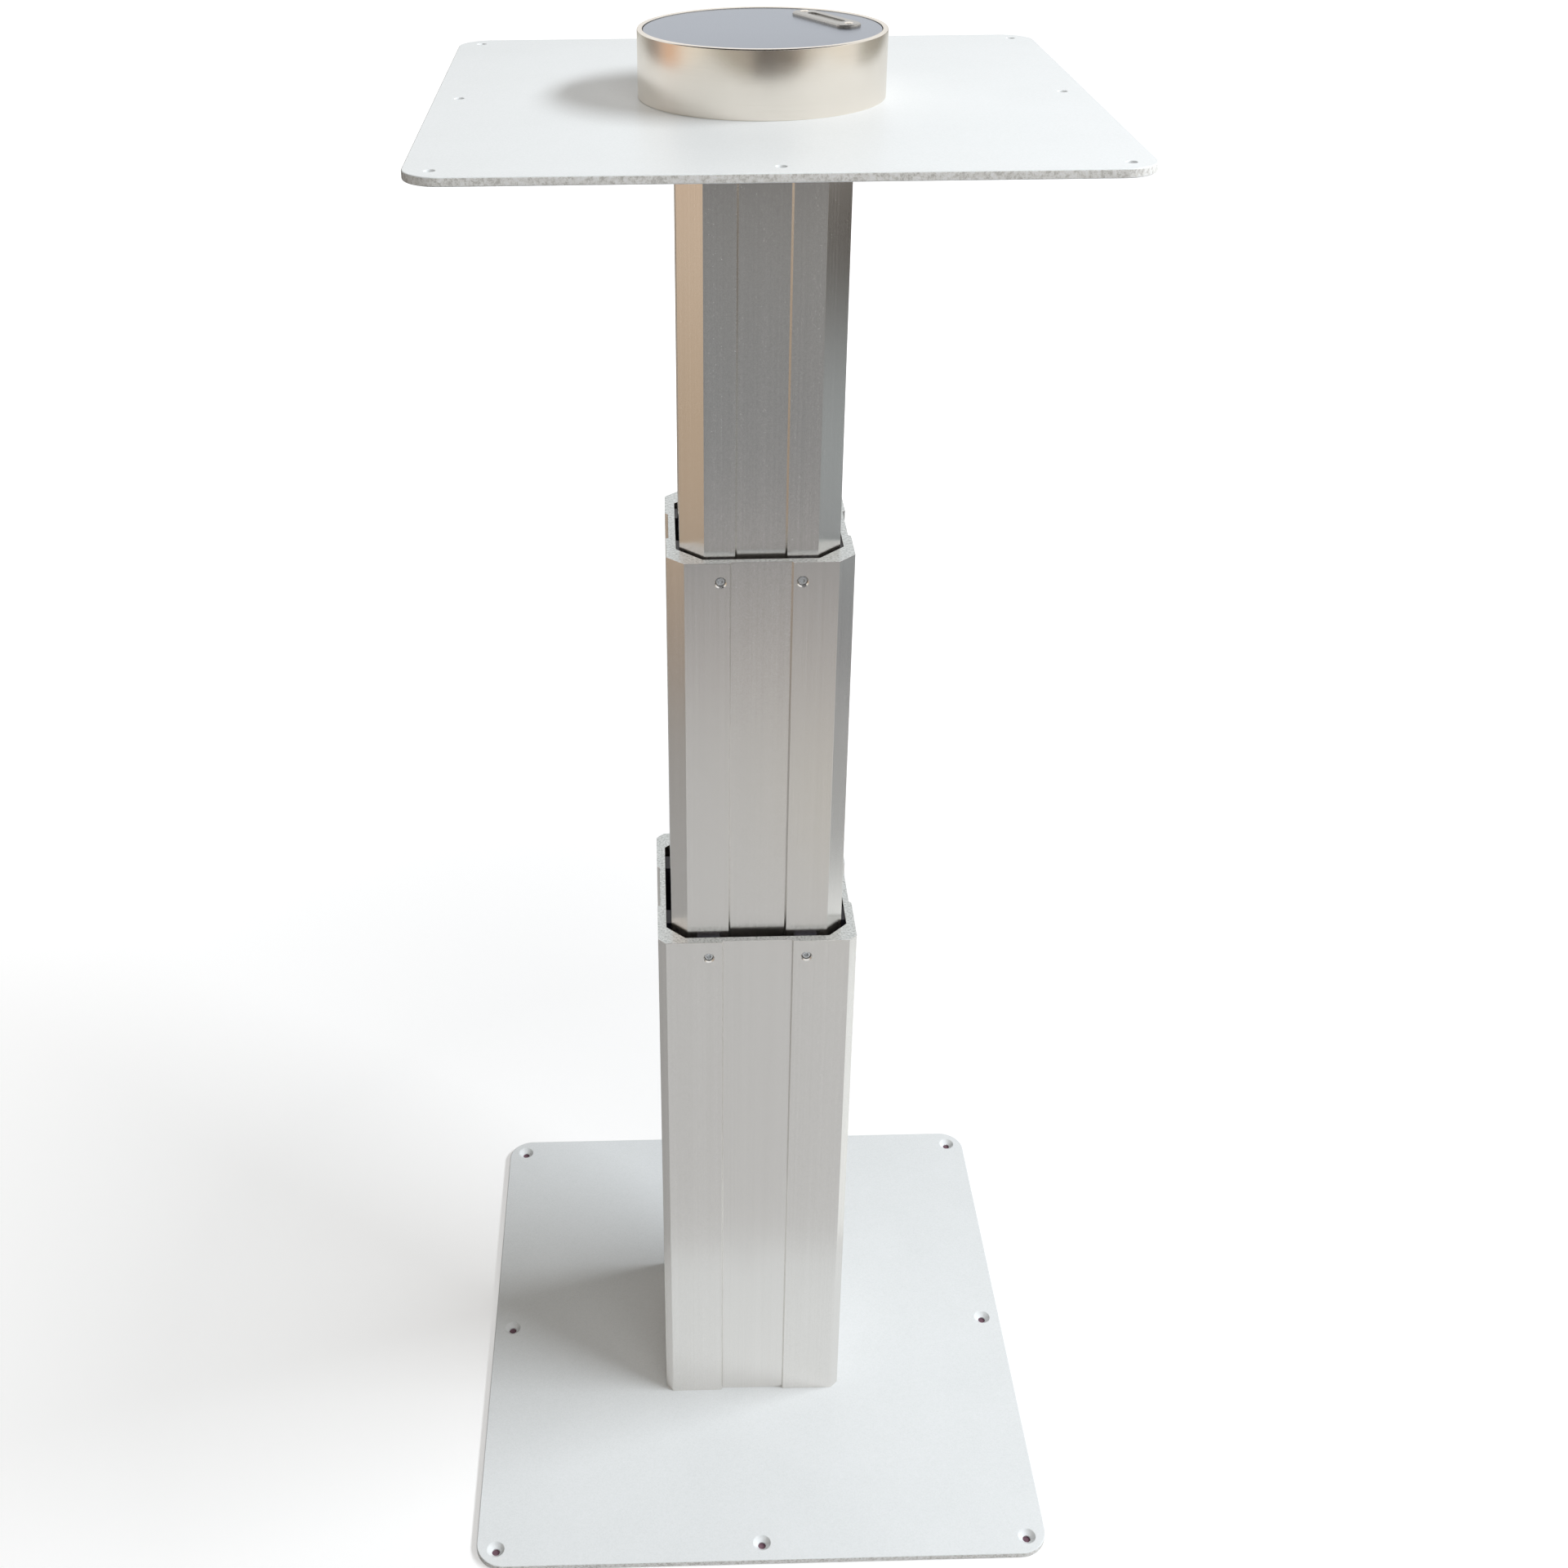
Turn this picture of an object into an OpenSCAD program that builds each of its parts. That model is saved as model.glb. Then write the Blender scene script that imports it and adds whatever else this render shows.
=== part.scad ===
// Three-stage electric lifting column with a floor plate, a table plate and a lidded service ring.
// Millimetres, +Z up, origin at the centre of the floor plate's underside, column drawn extended.

/* [Plates] */
// Width of the floor plate
base_w = 350; // [300:1:420]
// Depth of the floor plate, front to back
base_d = 370; // [300:1:440]
// Thickness of the floor plate
base_t = 4; // [3:0.5:8]
// Side of the square table plate
top_side = 312; // [260:1:400]
// Thickness of the table plate
top_t = 4; // [3:0.5:8]
// Corner radius of both plates
plate_corner = 17; // [8:1:30]
// Distance from a plate's edge to its hole centres
hole_inset = 12; // [10:0.5:20]
// Bore of the plate fixing holes
plate_hole_d = 4.8; // [4:0.1:6]
// Mouth of the plate fixing holes' countersinks
plate_sink_d = 10.6; // [8:0.1:12]

/* [Tubes] */
// Outer width of the lower tube
lower_w = 114; // [110:0.5:130]
// Corner bevel of the lower tube
lower_bevel = 4.5; // [3:0.5:7]
// Length of the lower tube
lower_len = 369; // [360:1:420]
// Width of the lower tube's face recess
lower_recess_w = 40; // [30:1:44]
// Outer width of the middle tube
middle_w = 98; // [94:0.5:101]
// Corner bevel of the middle tube
middle_bevel = 9; // [7:0.5:11]
// Length of the middle tube
middle_len = 374; // [345:1:378]
// Width of the middle tube's face recess
middle_recess_w = 32; // [26:1:36]
// Outer width of the upper tube
upper_w = 84; // [82:0.5:87]
// Corner bevel of the upper tube
upper_bevel = 12.5; // [11:0.5:14]
// Length of the upper tube
upper_len = 367; // [340:1:370]
// Width of the upper tube's face recess
upper_recess_w = 26; // [20:1:28]
// Wall of the upper tube
upper_wall = 4; // [3.5:0.1:5]
// Wall of the upper tube across its bevelled corners
upper_corner_wall = 10; // [9:0.5:11]
// Depth of the face recesses
recess_d = 1.5; // [0.5:0.1:2]
// Width of the sloping step at a recess's edge
recess_step = 1; // [0.5:0.1:2]
// Gap between the lower and the middle tube
lower_gap = 3; // [2.5:0.1:3.2]
// Gap between the middle and the upper tube
upper_gap = 1.8; // [1.5:0.1:2.5]

/* [Travel] */
// Height of the middle tube's rim above the lower tube's rim
middle_out = 234; // [215:1:236]
// Height of the upper tube's top above the middle tube's rim
upper_out = 219; // [213:1:225]
// Travel of each stage
stage_travel = 210; // [180:1:212]

/* [Guides] */
// Width of an adjustable guide pad
pad_w = 13; // [10:0.5:14]
// Height of an adjustable guide pad
pad_h = 40; // [30:1:50]
// Depth of the guide pads' tops below the rim
pad_drop = 2; // [1.5:0.5:4]
// Depth of the pocket that holds a guide pad
pad_pocket = 1.5; // [1:0.1:2]
// Running clearance of the guide pads and shoes
pad_clear = 0.2; // [0.1:0.05:0.4]
// Depth of the pad screws' centres below the rim
pad_screw_drop = 11; // [10:0.5:16]
// Diameter of the pad adjusting screws
pad_screw_d = 5; // [4:0.5:6]
// Height of the sliding shoes at the tubes' feet
shoe_h = 40; // [30:1:50]

/* [Screw drive] */
// Outer diameter of the fixed base screw
base_screw_d = 20; // [18:0.5:22]
// Bore of the fixed base screw
base_screw_bore = 13; // [12.4:0.2:14]
// Outer diameter of the turning screw tube
screw_tube_d = 36; // [34:0.5:38]
// Bore of the turning screw tube
screw_tube_bore = 28; // [26:0.5:30]
// Width across flats of the hexagonal drive shaft
drive_flats = 10; // [8:0.5:10.5]
// Thickness of the two nut and bearing carriers
carrier_t = 8; // [8:0.5:10]
// Running clearance of nuts and bearings
run_clear = 0.05; // [0.03:0.01:0.1]
// Length of the lift nut
lift_nut_len = 30; // [25:1:34]
// Length of the nut inside the screw tube
tube_nut_len = 25; // [20:1:28]

/* [Gear motor] */
// Diameter of the motor can
motor_d = 44; // [38:1:50]
// Length of the motor can
motor_len = 52; // [40:1:56]
// Outer diameter of the planetary gearbox
gearbox_d = 58; // [55:1:62]
// Width of the gear teeth
gear_w = 10; // [8:0.5:12]
// Gear module
gear_module = 1; // [0.9:0.02:1.04]
// Diameter of the motor shaft
motor_shaft_d = 8; // [6:0.5:9]

/* [Service ring and lid] */
// Outer diameter of the service ring
ring_d = 118; // [112:1:126]
// Height of the service ring
ring_h = 31; // [26:1:40]
// Wall of the service ring
ring_wall = 2.5; // [2:0.1:3]
// Thickness of the lid
lid_t = 2; // [1.5:0.1:3]
// Depth of the lid's face below the ring's edge
lid_sunk = 0.6; // [0:0.1:1.5]
// Length of the lid's pull
pull_len = 50; // [40:1:56]
// Width of the lid's pull
pull_w = 13; // [10:0.5:16]
// Height of the lid's pull
pull_h = 1.8; // [1.4:0.1:4]

/* [Hidden] */
$fn = 72;

alu = [0.78, 0.78, 0.77];
powder_white = [0.90, 0.92, 0.91];
steel = [0.62, 0.62, 0.63];
pom = [0.16, 0.16, 0.17];
bronze = [0.72, 0.55, 0.32];

// Heights of the stages
lower_rim = base_t + lower_len;
middle_rim = lower_rim + middle_out;
middle_foot = middle_rim - middle_len;
upper_top = middle_rim + upper_out;
upper_foot = upper_top - upper_len;
plate_top = upper_top + top_t;

// Half widths and the walls that follow from them
lower_r = lower_w / 2;
middle_r = middle_w / 2;
upper_r = upper_w / 2;
lower_wall = lower_r - middle_r - lower_gap;
middle_wall = middle_r - upper_r - upper_gap;
bore_overrun = 1;

// A hexagon's size over its corners
function across_corners(flats) = flats / cos(30);
// Where a bevelled corner lies along its diagonal: the sum x + y on its flat
function bevel_sum(half, bevel) = 2 * half - bevel;
// The bevel of an outline that is moved out by d on all its sides
function bevel_out(bevel, d) = bevel + d * (2 - sqrt(2));

// Centres of the corner screws, midway through each tube's corner
lower_sum = bevel_sum(lower_r, lower_bevel);
middle_sum = bevel_sum(middle_r, middle_bevel);
upper_sum = bevel_sum(upper_r, upper_bevel);
lower_corner = (lower_sum + middle_sum + lower_gap * sqrt(2)) / 4;
middle_corner = (middle_sum + upper_sum + upper_gap * sqrt(2)) / 4;
upper_corner = (2 * upper_sum - upper_corner_wall * sqrt(2)) / 4;

// Centres of the flat strips beside each face recess, where the guide pads press
middle_strip = (middle_recess_w / 2 + middle_r - middle_bevel) / 2;
upper_strip = (upper_recess_w / 2 + upper_r - upper_bevel) / 2;

// Screws: diameters, radial fits, and how far they reach into their threaded holes
column_screw_d = 6;
carrier_screw_d = 5;
small_screw_d = 4;
thread_fit = 0.05;
hole_fit = 0.25;
head_play = 0.2;
screw_end = 1;
thread_grip = 14;
thread_depth = 18;
function sink_mouth(d) = 2 * d;
function clear_hole(d) = d + 2 * hole_fit;

// Sliding shoes at the tubes' feet
shoe_button_d = 7;
shoe_rise = 4;
shoe_side_play = 0.5;
function shoe_foot(foot) = foot + shoe_rise;

// Screw drive, from the floor up
base_flange_d = 46;
base_flange_t = 5;
base_bolt_pcd = 33;
middle_carrier_top = middle_foot;
middle_carrier_foot = middle_foot - carrier_t;
journal_d = 30;
bearing_d = 42;
bearing_t = 7;
bearing_lip = 2;
circlip_t = 1;
circlip_gap = 0.2;
screw_tube_foot = middle_carrier_foot - circlip_gap - 2 * circlip_t;
nut_carrier_foot = upper_foot - carrier_t;
nut_flange_t = 5;
nut_flange_d = 66;
nut_body_d = 48;
nut_bolt_pcd = 57;
lift_nut_foot = nut_carrier_foot - nut_flange_t;
lift_nut_top = lift_nut_foot + lift_nut_len;
coupling_len = 14;
end_space = 4;
coupling_foot = lift_nut_top + end_space;
screw_tube_top = coupling_foot + coupling_len;
base_screw_top = screw_tube_foot + tube_nut_len + end_space;
drive_foot = coupling_foot - end_space;
drive_clear = 0.1;

// Gear motor, from the table plate down
end_cap_t = 8;
end_cap_d = 58;
motor_bolt_pcd = 48;
motor_flange_t = 4;
motor_foot = upper_top - end_cap_t - motor_len;
gear_gap = 0.5;
disc_t = 4;
cover_t = 6;
gear_top = motor_foot - gear_gap;
gear_foot = gear_top - gear_w;
disc_top = gear_foot - gear_gap;
disc_foot = disc_top - disc_t;
cover_top = disc_foot - gear_gap;
gearbox_foot = cover_top - cover_t;
gearbox_bolt_pcd = 53.4;
gearbox_bolt_d = 2.5;
sun_teeth = 12;
planet_teeth = 18;
ring_teeth = sun_teeth + 2 * planet_teeth;
planet_count = 3;
planet_orbit = gear_module * (sun_teeth + planet_teeth) / 2;
planet_pin_d = 5;
carrier_disc_d = 2 * planet_orbit + 2 * planet_pin_d;
output_d = 14;
output_bearing_d = 24;
output_bearing_t = 5;
pressure_angle = 25;
addendum = 0.8;
dedendum = 1.05;
tooth_play = 0.08;

// Service ring and lid
ring_r = ring_d / 2;
ring_bore = ring_r - ring_wall;
ring_top = plate_top + ring_h;
lid_foot = ring_top - lid_sunk - lid_t;
ledge_w = 4;
ledge_t = 2;
tab_reach = 12;
tab_w = 16;
tab_t = 2;
lid_clear = 0.3;
pull_angle = -63;
pull_offset = 36;
pull_turn = 29;
pull_slot_w = 4.2;
rivet_d = 3.4;
rivet_inset = 5;
rivet_x = pull_len / 2 - rivet_inset;
pull_slot_len = pull_len - 4 * rivet_inset;
crank_flats = 8;
crank_rise = 12;
shaft_hole_d = 16;
grommet_d = 7;
grommet_bore = 5;
grommet_y = 33.5;

// ---- Shapes that several pieces share ----

function turned(p, a) = [p[0] * cos(a) - p[1] * sin(a), p[0] * sin(a) + p[1] * cos(a)];

// A square outline with bevelled corners
function bevelled_square(half, bevel) = [for (k = [0:3]) for (x = [-1, 1])
    turned([x * (half - bevel), -half], 90 * k)];

// The same outline with a shallow recess along the middle of each side
function recessed_square(half, bevel, recess, depth) = let (r = recess / 2, s = recess_step / 2)
    [for (k = [0:3]) for (p = [[-(half - bevel), -half], [-r - s, -half], [-r + s, -half + depth],
        [r - s, -half + depth], [r + s, -half], [half - bevel, -half]]) turned(p, 90 * k)];

// Copies of its children at the four corners of a square
module at_corners(c) {
    for (x = [-c, c], y = [-c, c])
        translate([x, y, 0]) children();
}

// Copies of its children round the Z axis
module around(count, radius, start = 0) {
    for (k = [0:count - 1])
        rotate([0, 0, start + 360 * k / count]) translate([radius, 0, 0]) children();
}

// Copies of its children on the four faces, two per face at plus and minus x
module on_faces(half, x) {
    for (k = [0:3], side = [-x, x])
        rotate([0, 0, 90 * k]) translate([side, -half, 0]) rotate([90, 0, 0]) children();
}

module bore(d, foot, top) {
    translate([0, 0, foot - bore_overrun]) cylinder(d = d, h = top - foot + 2 * bore_overrun);
}

// A countersink whose mouth is at z = 0 and which narrows downwards
module sink(mouth, d) {
    depth = (mouth - d) / 2;
    translate([0, 0, -depth]) cylinder(d1 = d, d2 = mouth, h = depth);
    cylinder(d = mouth, h = bore_overrun);
}

// A countersunk screw for a thread of diameter d, head up, with its face at z = 0
module sunk_screw(d, length) {
    shank = d - 2 * thread_fit;
    head = sink_mouth(d) - head_play;
    cone = (head - shank) / 2;
    difference() {
        union() {
            translate([0, 0, -cone]) cylinder(d1 = shank, d2 = head, h = cone);
            translate([0, 0, -length]) cylinder(d = shank, h = length - cone);
        }
        translate([0, 0, -d * 0.4]) cylinder(d = d * 0.65, h = d, $fn = 6);
    }
}

// A socket head screw for a thread of diameter d, its head standing on z = 0
module cap_screw(d, length) {
    difference() {
        union() {
            cylinder(d = d * 1.75, h = d);
            translate([0, 0, -length]) cylinder(d = d - 2 * thread_fit, h = length);
        }
        translate([0, 0, d * 0.4]) cylinder(d = d * 0.9, h = d, $fn = 6);
    }
}

module plate_outline(width, depth, corner) {
    x = width / 2 - corner;
    y = depth / 2 - corner;
    square([width, 2 * y], center = true);
    square([2 * x, depth], center = true);
    for (u = [-x, x], v = [-y, y])
        translate([u, v]) circle(r = corner);
}

// The eight fixing holes: four corners and the middle of each side
module at_plate_holes(width, depth) {
    for (x = [-1, 0, 1], y = [-1, 0, 1])
        if (x != 0 || y != 0)
            translate([x * (width / 2 - hole_inset), y * (depth / 2 - hole_inset), 0]) children();
}

// ---- Floor plate and lower stage ----

module base_plate() {
    color(powder_white) difference() {
        linear_extrude(base_t) plate_outline(base_w, base_d, plate_corner);
        at_plate_holes(base_w, base_d) {
            bore(plate_hole_d, 0, base_t);
            translate([0, 0, base_t]) sink(plate_sink_d, plate_hole_d);
        }
        at_corners(lower_corner) {
            bore(clear_hole(column_screw_d), 0, base_t);
            mirror([0, 0, 1]) sink(sink_mouth(column_screw_d), clear_hole(column_screw_d));
        }
        around(4, base_bolt_pcd / 2, 45) {
            bore(clear_hole(small_screw_d), 0, base_t);
            mirror([0, 0, 1]) sink(sink_mouth(small_screw_d), clear_hole(small_screw_d));
        }
    }
}

// A tube with recessed faces outside and a plain bevelled bore that clears the next tube
module tube_profile(half, bevel, recess, bore_half, bore_bevel) {
    difference() {
        polygon(recessed_square(half, bevel, recess, recess_d));
        polygon(bevelled_square(bore_half, bore_bevel));
    }
}

// Pockets and countersunk screw holes for the eight guide pads below a tube's rim
module pad_cuts(half, wall, strip, rim) {
    pocket = wall - pad_pocket;
    on_faces(half, strip) {
        translate([-pad_w / 2, rim - pad_drop - pad_h, -wall - bore_overrun])
            cube([pad_w, pad_h, bore_overrun + pad_pocket]);
        translate([0, rim - pad_screw_drop, -wall - bore_overrun])
            cylinder(d = pad_screw_d, h = wall + 2 * bore_overrun);
        translate([0, rim - pad_screw_drop, 0]) sink(pad_screw_d + 1.4, pad_screw_d);
    }
}

module lower_tube() {
    color(alu) difference() {
        translate([0, 0, base_t]) linear_extrude(lower_len)
            tube_profile(lower_r, lower_bevel, lower_recess_w, middle_r + lower_gap,
                bevel_out(middle_bevel, lower_gap));
        pad_cuts(lower_r, lower_wall, middle_strip, lower_rim);
        at_corners(lower_corner)
            translate([0, 0, base_t - bore_overrun])
                cylinder(d = column_screw_d, h = thread_depth + bore_overrun);
    }
}

module column_screws() {
    color(steel) at_corners(lower_corner)
        mirror([0, 0, 1]) sunk_screw(column_screw_d, base_t + thread_grip);
}

// The fixed screw that stands on the floor plate
module base_screw() {
    color(steel) difference() {
        union() {
            translate([0, 0, base_t]) cylinder(d = base_flange_d, h = base_flange_t);
            translate([0, 0, base_t]) cylinder(d = base_screw_d, h = base_screw_top - base_t);
        }
        bore(base_screw_bore, base_t, base_screw_top);
        around(4, base_bolt_pcd / 2, 45)
            bore(small_screw_d, base_t, base_t + base_flange_t);
    }
}

module base_screw_bolts() {
    color(steel) around(4, base_bolt_pcd / 2, 45)
        mirror([0, 0, 1]) sunk_screw(small_screw_d, base_t + base_flange_t);
}

// Eight pads that the adjusting screws press against the next tube
module guide_pads(half, wall, gap, strip, rim) {
    thick = pad_pocket + gap - pad_clear;
    play = 0.1;
    tip = 1.2;
    color(pom) on_faces(half, strip) difference() {
        translate([-pad_w / 2 + play, rim - pad_drop - pad_h + play, -wall + pad_pocket - thick])
            cube([pad_w - 2 * play, pad_h - 2 * play, thick]);
        translate([0, rim - pad_screw_drop, -wall + pad_pocket - tip])
            cylinder(d = pad_screw_d, h = tip + bore_overrun);
    }
}

module pad_screws(half, wall, strip, rim) {
    sunk = 0.5;
    tip = 1.2;
    length = wall - pad_pocket + tip - sunk;
    color(steel) on_faces(half, strip)
        translate([0, rim - pad_screw_drop, -sunk - length]) difference() {
            cylinder(d = pad_screw_d - 2 * thread_fit, h = length);
            translate([0, 0, length - 1.6]) cylinder(d = pad_screw_d * 0.62, h = 2, $fn = 6);
        }
}

module lower_guide_pads() {
    guide_pads(lower_r, lower_wall, lower_gap, middle_strip, lower_rim);
}

module lower_pad_screws() {
    pad_screws(lower_r, lower_wall, middle_strip, lower_rim);
}

// ---- Middle stage ----

// The two button holes of each face's shoe, low on a tube
module at_shoe_buttons(half, foot) {
    for (k = [0:3], up = [0.25, 0.75])
        rotate([0, 0, 90 * k]) translate([0, -half + recess_d, shoe_foot(foot) + up * shoe_h])
            rotate([90, 0, 0]) children();
}

module shoe_cuts(half, wall, foot) {
    at_shoe_buttons(half, foot)
        translate([0, 0, -wall - bore_overrun]) cylinder(d = shoe_button_d, h = wall + 2 * bore_overrun);
}

// One sliding shoe on each face, seated in the recess and held by two buttons in the wall
module shoes(half, wall, gap, recess, foot) {
    thick = recess_d + gap - pad_clear;
    width = recess - recess_step - 2 * shoe_side_play;
    button = wall - recess_d - shoe_side_play;
    color(pom) {
        for (k = [0:3])
            rotate([0, 0, 90 * k]) translate([-width / 2, -half + recess_d - thick, shoe_foot(foot)])
                cube([width, thick, shoe_h]);
        at_shoe_buttons(half, foot)
            translate([0, 0, -button]) cylinder(d = shoe_button_d - 2 * thread_fit, h = button + 1);
    }
}

module middle_tube() {
    color(alu) difference() {
        translate([0, 0, middle_foot]) linear_extrude(middle_len)
            tube_profile(middle_r, middle_bevel, middle_recess_w, upper_r + upper_gap,
                bevel_out(upper_bevel, upper_gap));
        pad_cuts(middle_r, middle_wall, upper_strip, middle_rim);
        shoe_cuts(middle_r, middle_wall, middle_foot);
        at_corners(middle_corner)
            translate([0, 0, middle_foot - bore_overrun])
                cylinder(d = carrier_screw_d, h = thread_depth + bore_overrun);
    }
}

module middle_guide_pads() {
    guide_pads(middle_r, middle_wall, upper_gap, upper_strip, middle_rim);
}

module middle_pad_screws() {
    pad_screws(middle_r, middle_wall, upper_strip, middle_rim);
}

module middle_shoes() {
    shoes(middle_r, middle_wall, lower_gap, middle_recess_w, middle_foot);
}

// The plate under the middle tube that carries the screw tube's bearing
module middle_carrier() {
    lip = carrier_t - bearing_t;
    inset = 0.5;
    color(alu) difference() {
        translate([0, 0, middle_carrier_foot]) linear_extrude(carrier_t)
            polygon(bevelled_square(middle_r - recess_d - inset, middle_bevel - inset));
        translate([0, 0, middle_carrier_foot + lip]) cylinder(d = bearing_d, h = carrier_t);
        bore(bearing_d - 2 * bearing_lip, middle_carrier_foot, middle_carrier_top);
        at_corners(middle_corner) {
            bore(clear_hole(carrier_screw_d), middle_carrier_foot, middle_carrier_top);
            translate([0, 0, middle_carrier_foot]) mirror([0, 0, 1])
                sink(sink_mouth(carrier_screw_d), clear_hole(carrier_screw_d));
        }
    }
}

module middle_carrier_screws() {
    color(steel) at_corners(middle_corner) translate([0, 0, middle_carrier_foot])
        mirror([0, 0, 1]) sunk_screw(carrier_screw_d, carrier_t + thread_grip);
}

// A shielded ball bearing drawn as its two rings and the shield between them
module ball_bearing(inner, outer, thick) {
    race = (outer - inner) / 2 * 0.3;
    shield = 0.3;
    difference() {
        cylinder(d = outer, h = thick);
        translate([0, 0, -bore_overrun]) cylinder(d = inner, h = thick + 2 * bore_overrun);
        for (z = [-bore_overrun, thick - shield])
            translate([0, 0, z]) difference() {
                cylinder(d = outer - 2 * race, h = shield + bore_overrun);
                translate([0, 0, -1]) cylinder(d = inner + 2 * race, h = shield + bore_overrun + 2);
            }
    }
}

module screw_tube_bearing() {
    color(steel) translate([0, 0, middle_carrier_top - bearing_t])
        ball_bearing(journal_d + 2 * run_clear, bearing_d - 2 * run_clear, bearing_t);
}

// The turning tube: threaded outside for the lift nut, with a nut inside its foot for the base screw
module screw_tube() {
    color(steel) difference() {
        union() {
            translate([0, 0, screw_tube_foot])
                cylinder(d = journal_d, h = middle_carrier_top - screw_tube_foot + 1);
            translate([0, 0, middle_carrier_top + circlip_gap])
                cylinder(d = screw_tube_d, h = screw_tube_top - middle_carrier_top - circlip_gap);
        }
        bore(screw_tube_bore, screw_tube_foot, screw_tube_top);
        translate([0, 0, screw_tube_foot + circlip_t / 2])
            difference() {
                cylinder(d = journal_d + 2, h = circlip_t);
                cylinder(d = journal_d - 1, h = circlip_t);
            }
    }
}

module screw_tube_circlip() {
    color(steel) translate([0, 0, screw_tube_foot + circlip_t / 2]) difference() {
        cylinder(d = journal_d + 5, h = circlip_t);
        translate([0, 0, -bore_overrun]) cylinder(d = journal_d - 1, h = circlip_t + 2 * bore_overrun);
        translate([0, -2.5, -bore_overrun]) cube([journal_d, 5, circlip_t + 2 * bore_overrun]);
    }
}

module screw_tube_nut() {
    color(bronze) translate([0, 0, screw_tube_foot]) difference() {
        cylinder(d = screw_tube_bore, h = tube_nut_len);
        bore(base_screw_d + 2 * run_clear, 0, tube_nut_len);
    }
}

// The hexagonal coupling that turns the screw tube and lets the drive shaft slide
module hex_coupling() {
    color(bronze) translate([0, 0, coupling_foot]) difference() {
        cylinder(d = screw_tube_bore, h = coupling_len);
        translate([0, 0, -bore_overrun])
            cylinder(d = across_corners(drive_flats + 2 * drive_clear), h = coupling_len + 2 * bore_overrun,
                $fn = 6);
    }
}

// ---- Upper stage ----

module upper_tube() {
    bore_half = upper_r - upper_wall;
    bore_bevel = 2 * bore_half - upper_sum + upper_corner_wall * sqrt(2);
    color(alu) difference() {
        translate([0, 0, upper_foot]) linear_extrude(upper_len)
            tube_profile(upper_r, upper_bevel, upper_recess_w, bore_half, bore_bevel);
        shoe_cuts(upper_r, upper_wall, upper_foot);
        at_corners(upper_corner)
            for (z = [upper_foot - bore_overrun, upper_top - thread_depth])
                translate([0, 0, z]) cylinder(d = carrier_screw_d, h = thread_depth + bore_overrun);
    }
}

module upper_shoes() {
    shoes(upper_r, upper_wall, upper_gap, upper_recess_w, upper_foot);
}

module nut_carrier() {
    inset = 0.5;
    color(alu) difference() {
        translate([0, 0, nut_carrier_foot]) linear_extrude(carrier_t)
            polygon(bevelled_square(upper_r - recess_d - inset, upper_bevel - inset));
        bore(nut_body_d + 2 * hole_fit, nut_carrier_foot, upper_foot);
        at_corners(upper_corner) {
            bore(clear_hole(carrier_screw_d), nut_carrier_foot, upper_foot);
            translate([0, 0, nut_carrier_foot]) mirror([0, 0, 1])
                sink(sink_mouth(carrier_screw_d), clear_hole(carrier_screw_d));
        }
        around(4, nut_bolt_pcd / 2) bore(small_screw_d, nut_carrier_foot, upper_foot);
    }
}

module nut_carrier_screws() {
    color(steel) at_corners(upper_corner) translate([0, 0, nut_carrier_foot])
        mirror([0, 0, 1]) sunk_screw(carrier_screw_d, carrier_t + thread_grip);
}

module lift_nut() {
    color(bronze) difference() {
        union() {
            translate([0, 0, lift_nut_foot]) cylinder(d = nut_flange_d, h = nut_flange_t);
            translate([0, 0, lift_nut_foot]) cylinder(d = nut_body_d, h = lift_nut_len);
        }
        bore(screw_tube_d + 2 * run_clear, lift_nut_foot, lift_nut_top);
        around(4, nut_bolt_pcd / 2) {
            bore(clear_hole(small_screw_d), lift_nut_foot, lift_nut_foot + nut_flange_t);
            translate([0, 0, lift_nut_foot]) mirror([0, 0, 1])
                sink(sink_mouth(small_screw_d), clear_hole(small_screw_d));
        }
        // Flats that clear the heads of the carrier's corner screws
        at_corners(upper_corner)
            translate([0, 0, lift_nut_foot - bore_overrun])
                cylinder(d = sink_mouth(carrier_screw_d) + 1, h = nut_flange_t + bore_overrun);
    }
}

module lift_nut_screws() {
    color(steel) around(4, nut_bolt_pcd / 2) translate([0, 0, lift_nut_foot])
        mirror([0, 0, 1]) sunk_screw(small_screw_d, nut_flange_t + carrier_t - screw_end);
}

module top_plate() {
    color(powder_white) difference() {
        translate([0, 0, upper_top]) linear_extrude(top_t)
            plate_outline(top_side, top_side, plate_corner);
        translate([0, 0, upper_top]) {
            at_plate_holes(top_side, top_side) {
                bore(plate_hole_d, 0, top_t);
                mirror([0, 0, 1]) sink(plate_sink_d, plate_hole_d);
            }
            at_corners(upper_corner) {
                bore(clear_hole(carrier_screw_d), 0, top_t);
                translate([0, 0, top_t]) sink(sink_mouth(carrier_screw_d), clear_hole(carrier_screw_d));
            }
            around(4, motor_bolt_pcd / 2) {
                bore(clear_hole(small_screw_d), 0, top_t);
                translate([0, 0, top_t]) sink(sink_mouth(small_screw_d), clear_hole(small_screw_d));
            }
            around(4, ring_bore - tab_reach / 2) bore(small_screw_d, 0, top_t);
            bore(shaft_hole_d, 0, top_t);
            translate([0, -grommet_y, 0]) bore(grommet_d, 0, top_t);
        }
    }
}

module top_plate_screws() {
    color(steel) at_corners(upper_corner) translate([0, 0, plate_top])
        sunk_screw(carrier_screw_d, top_t + thread_grip);
}

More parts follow.
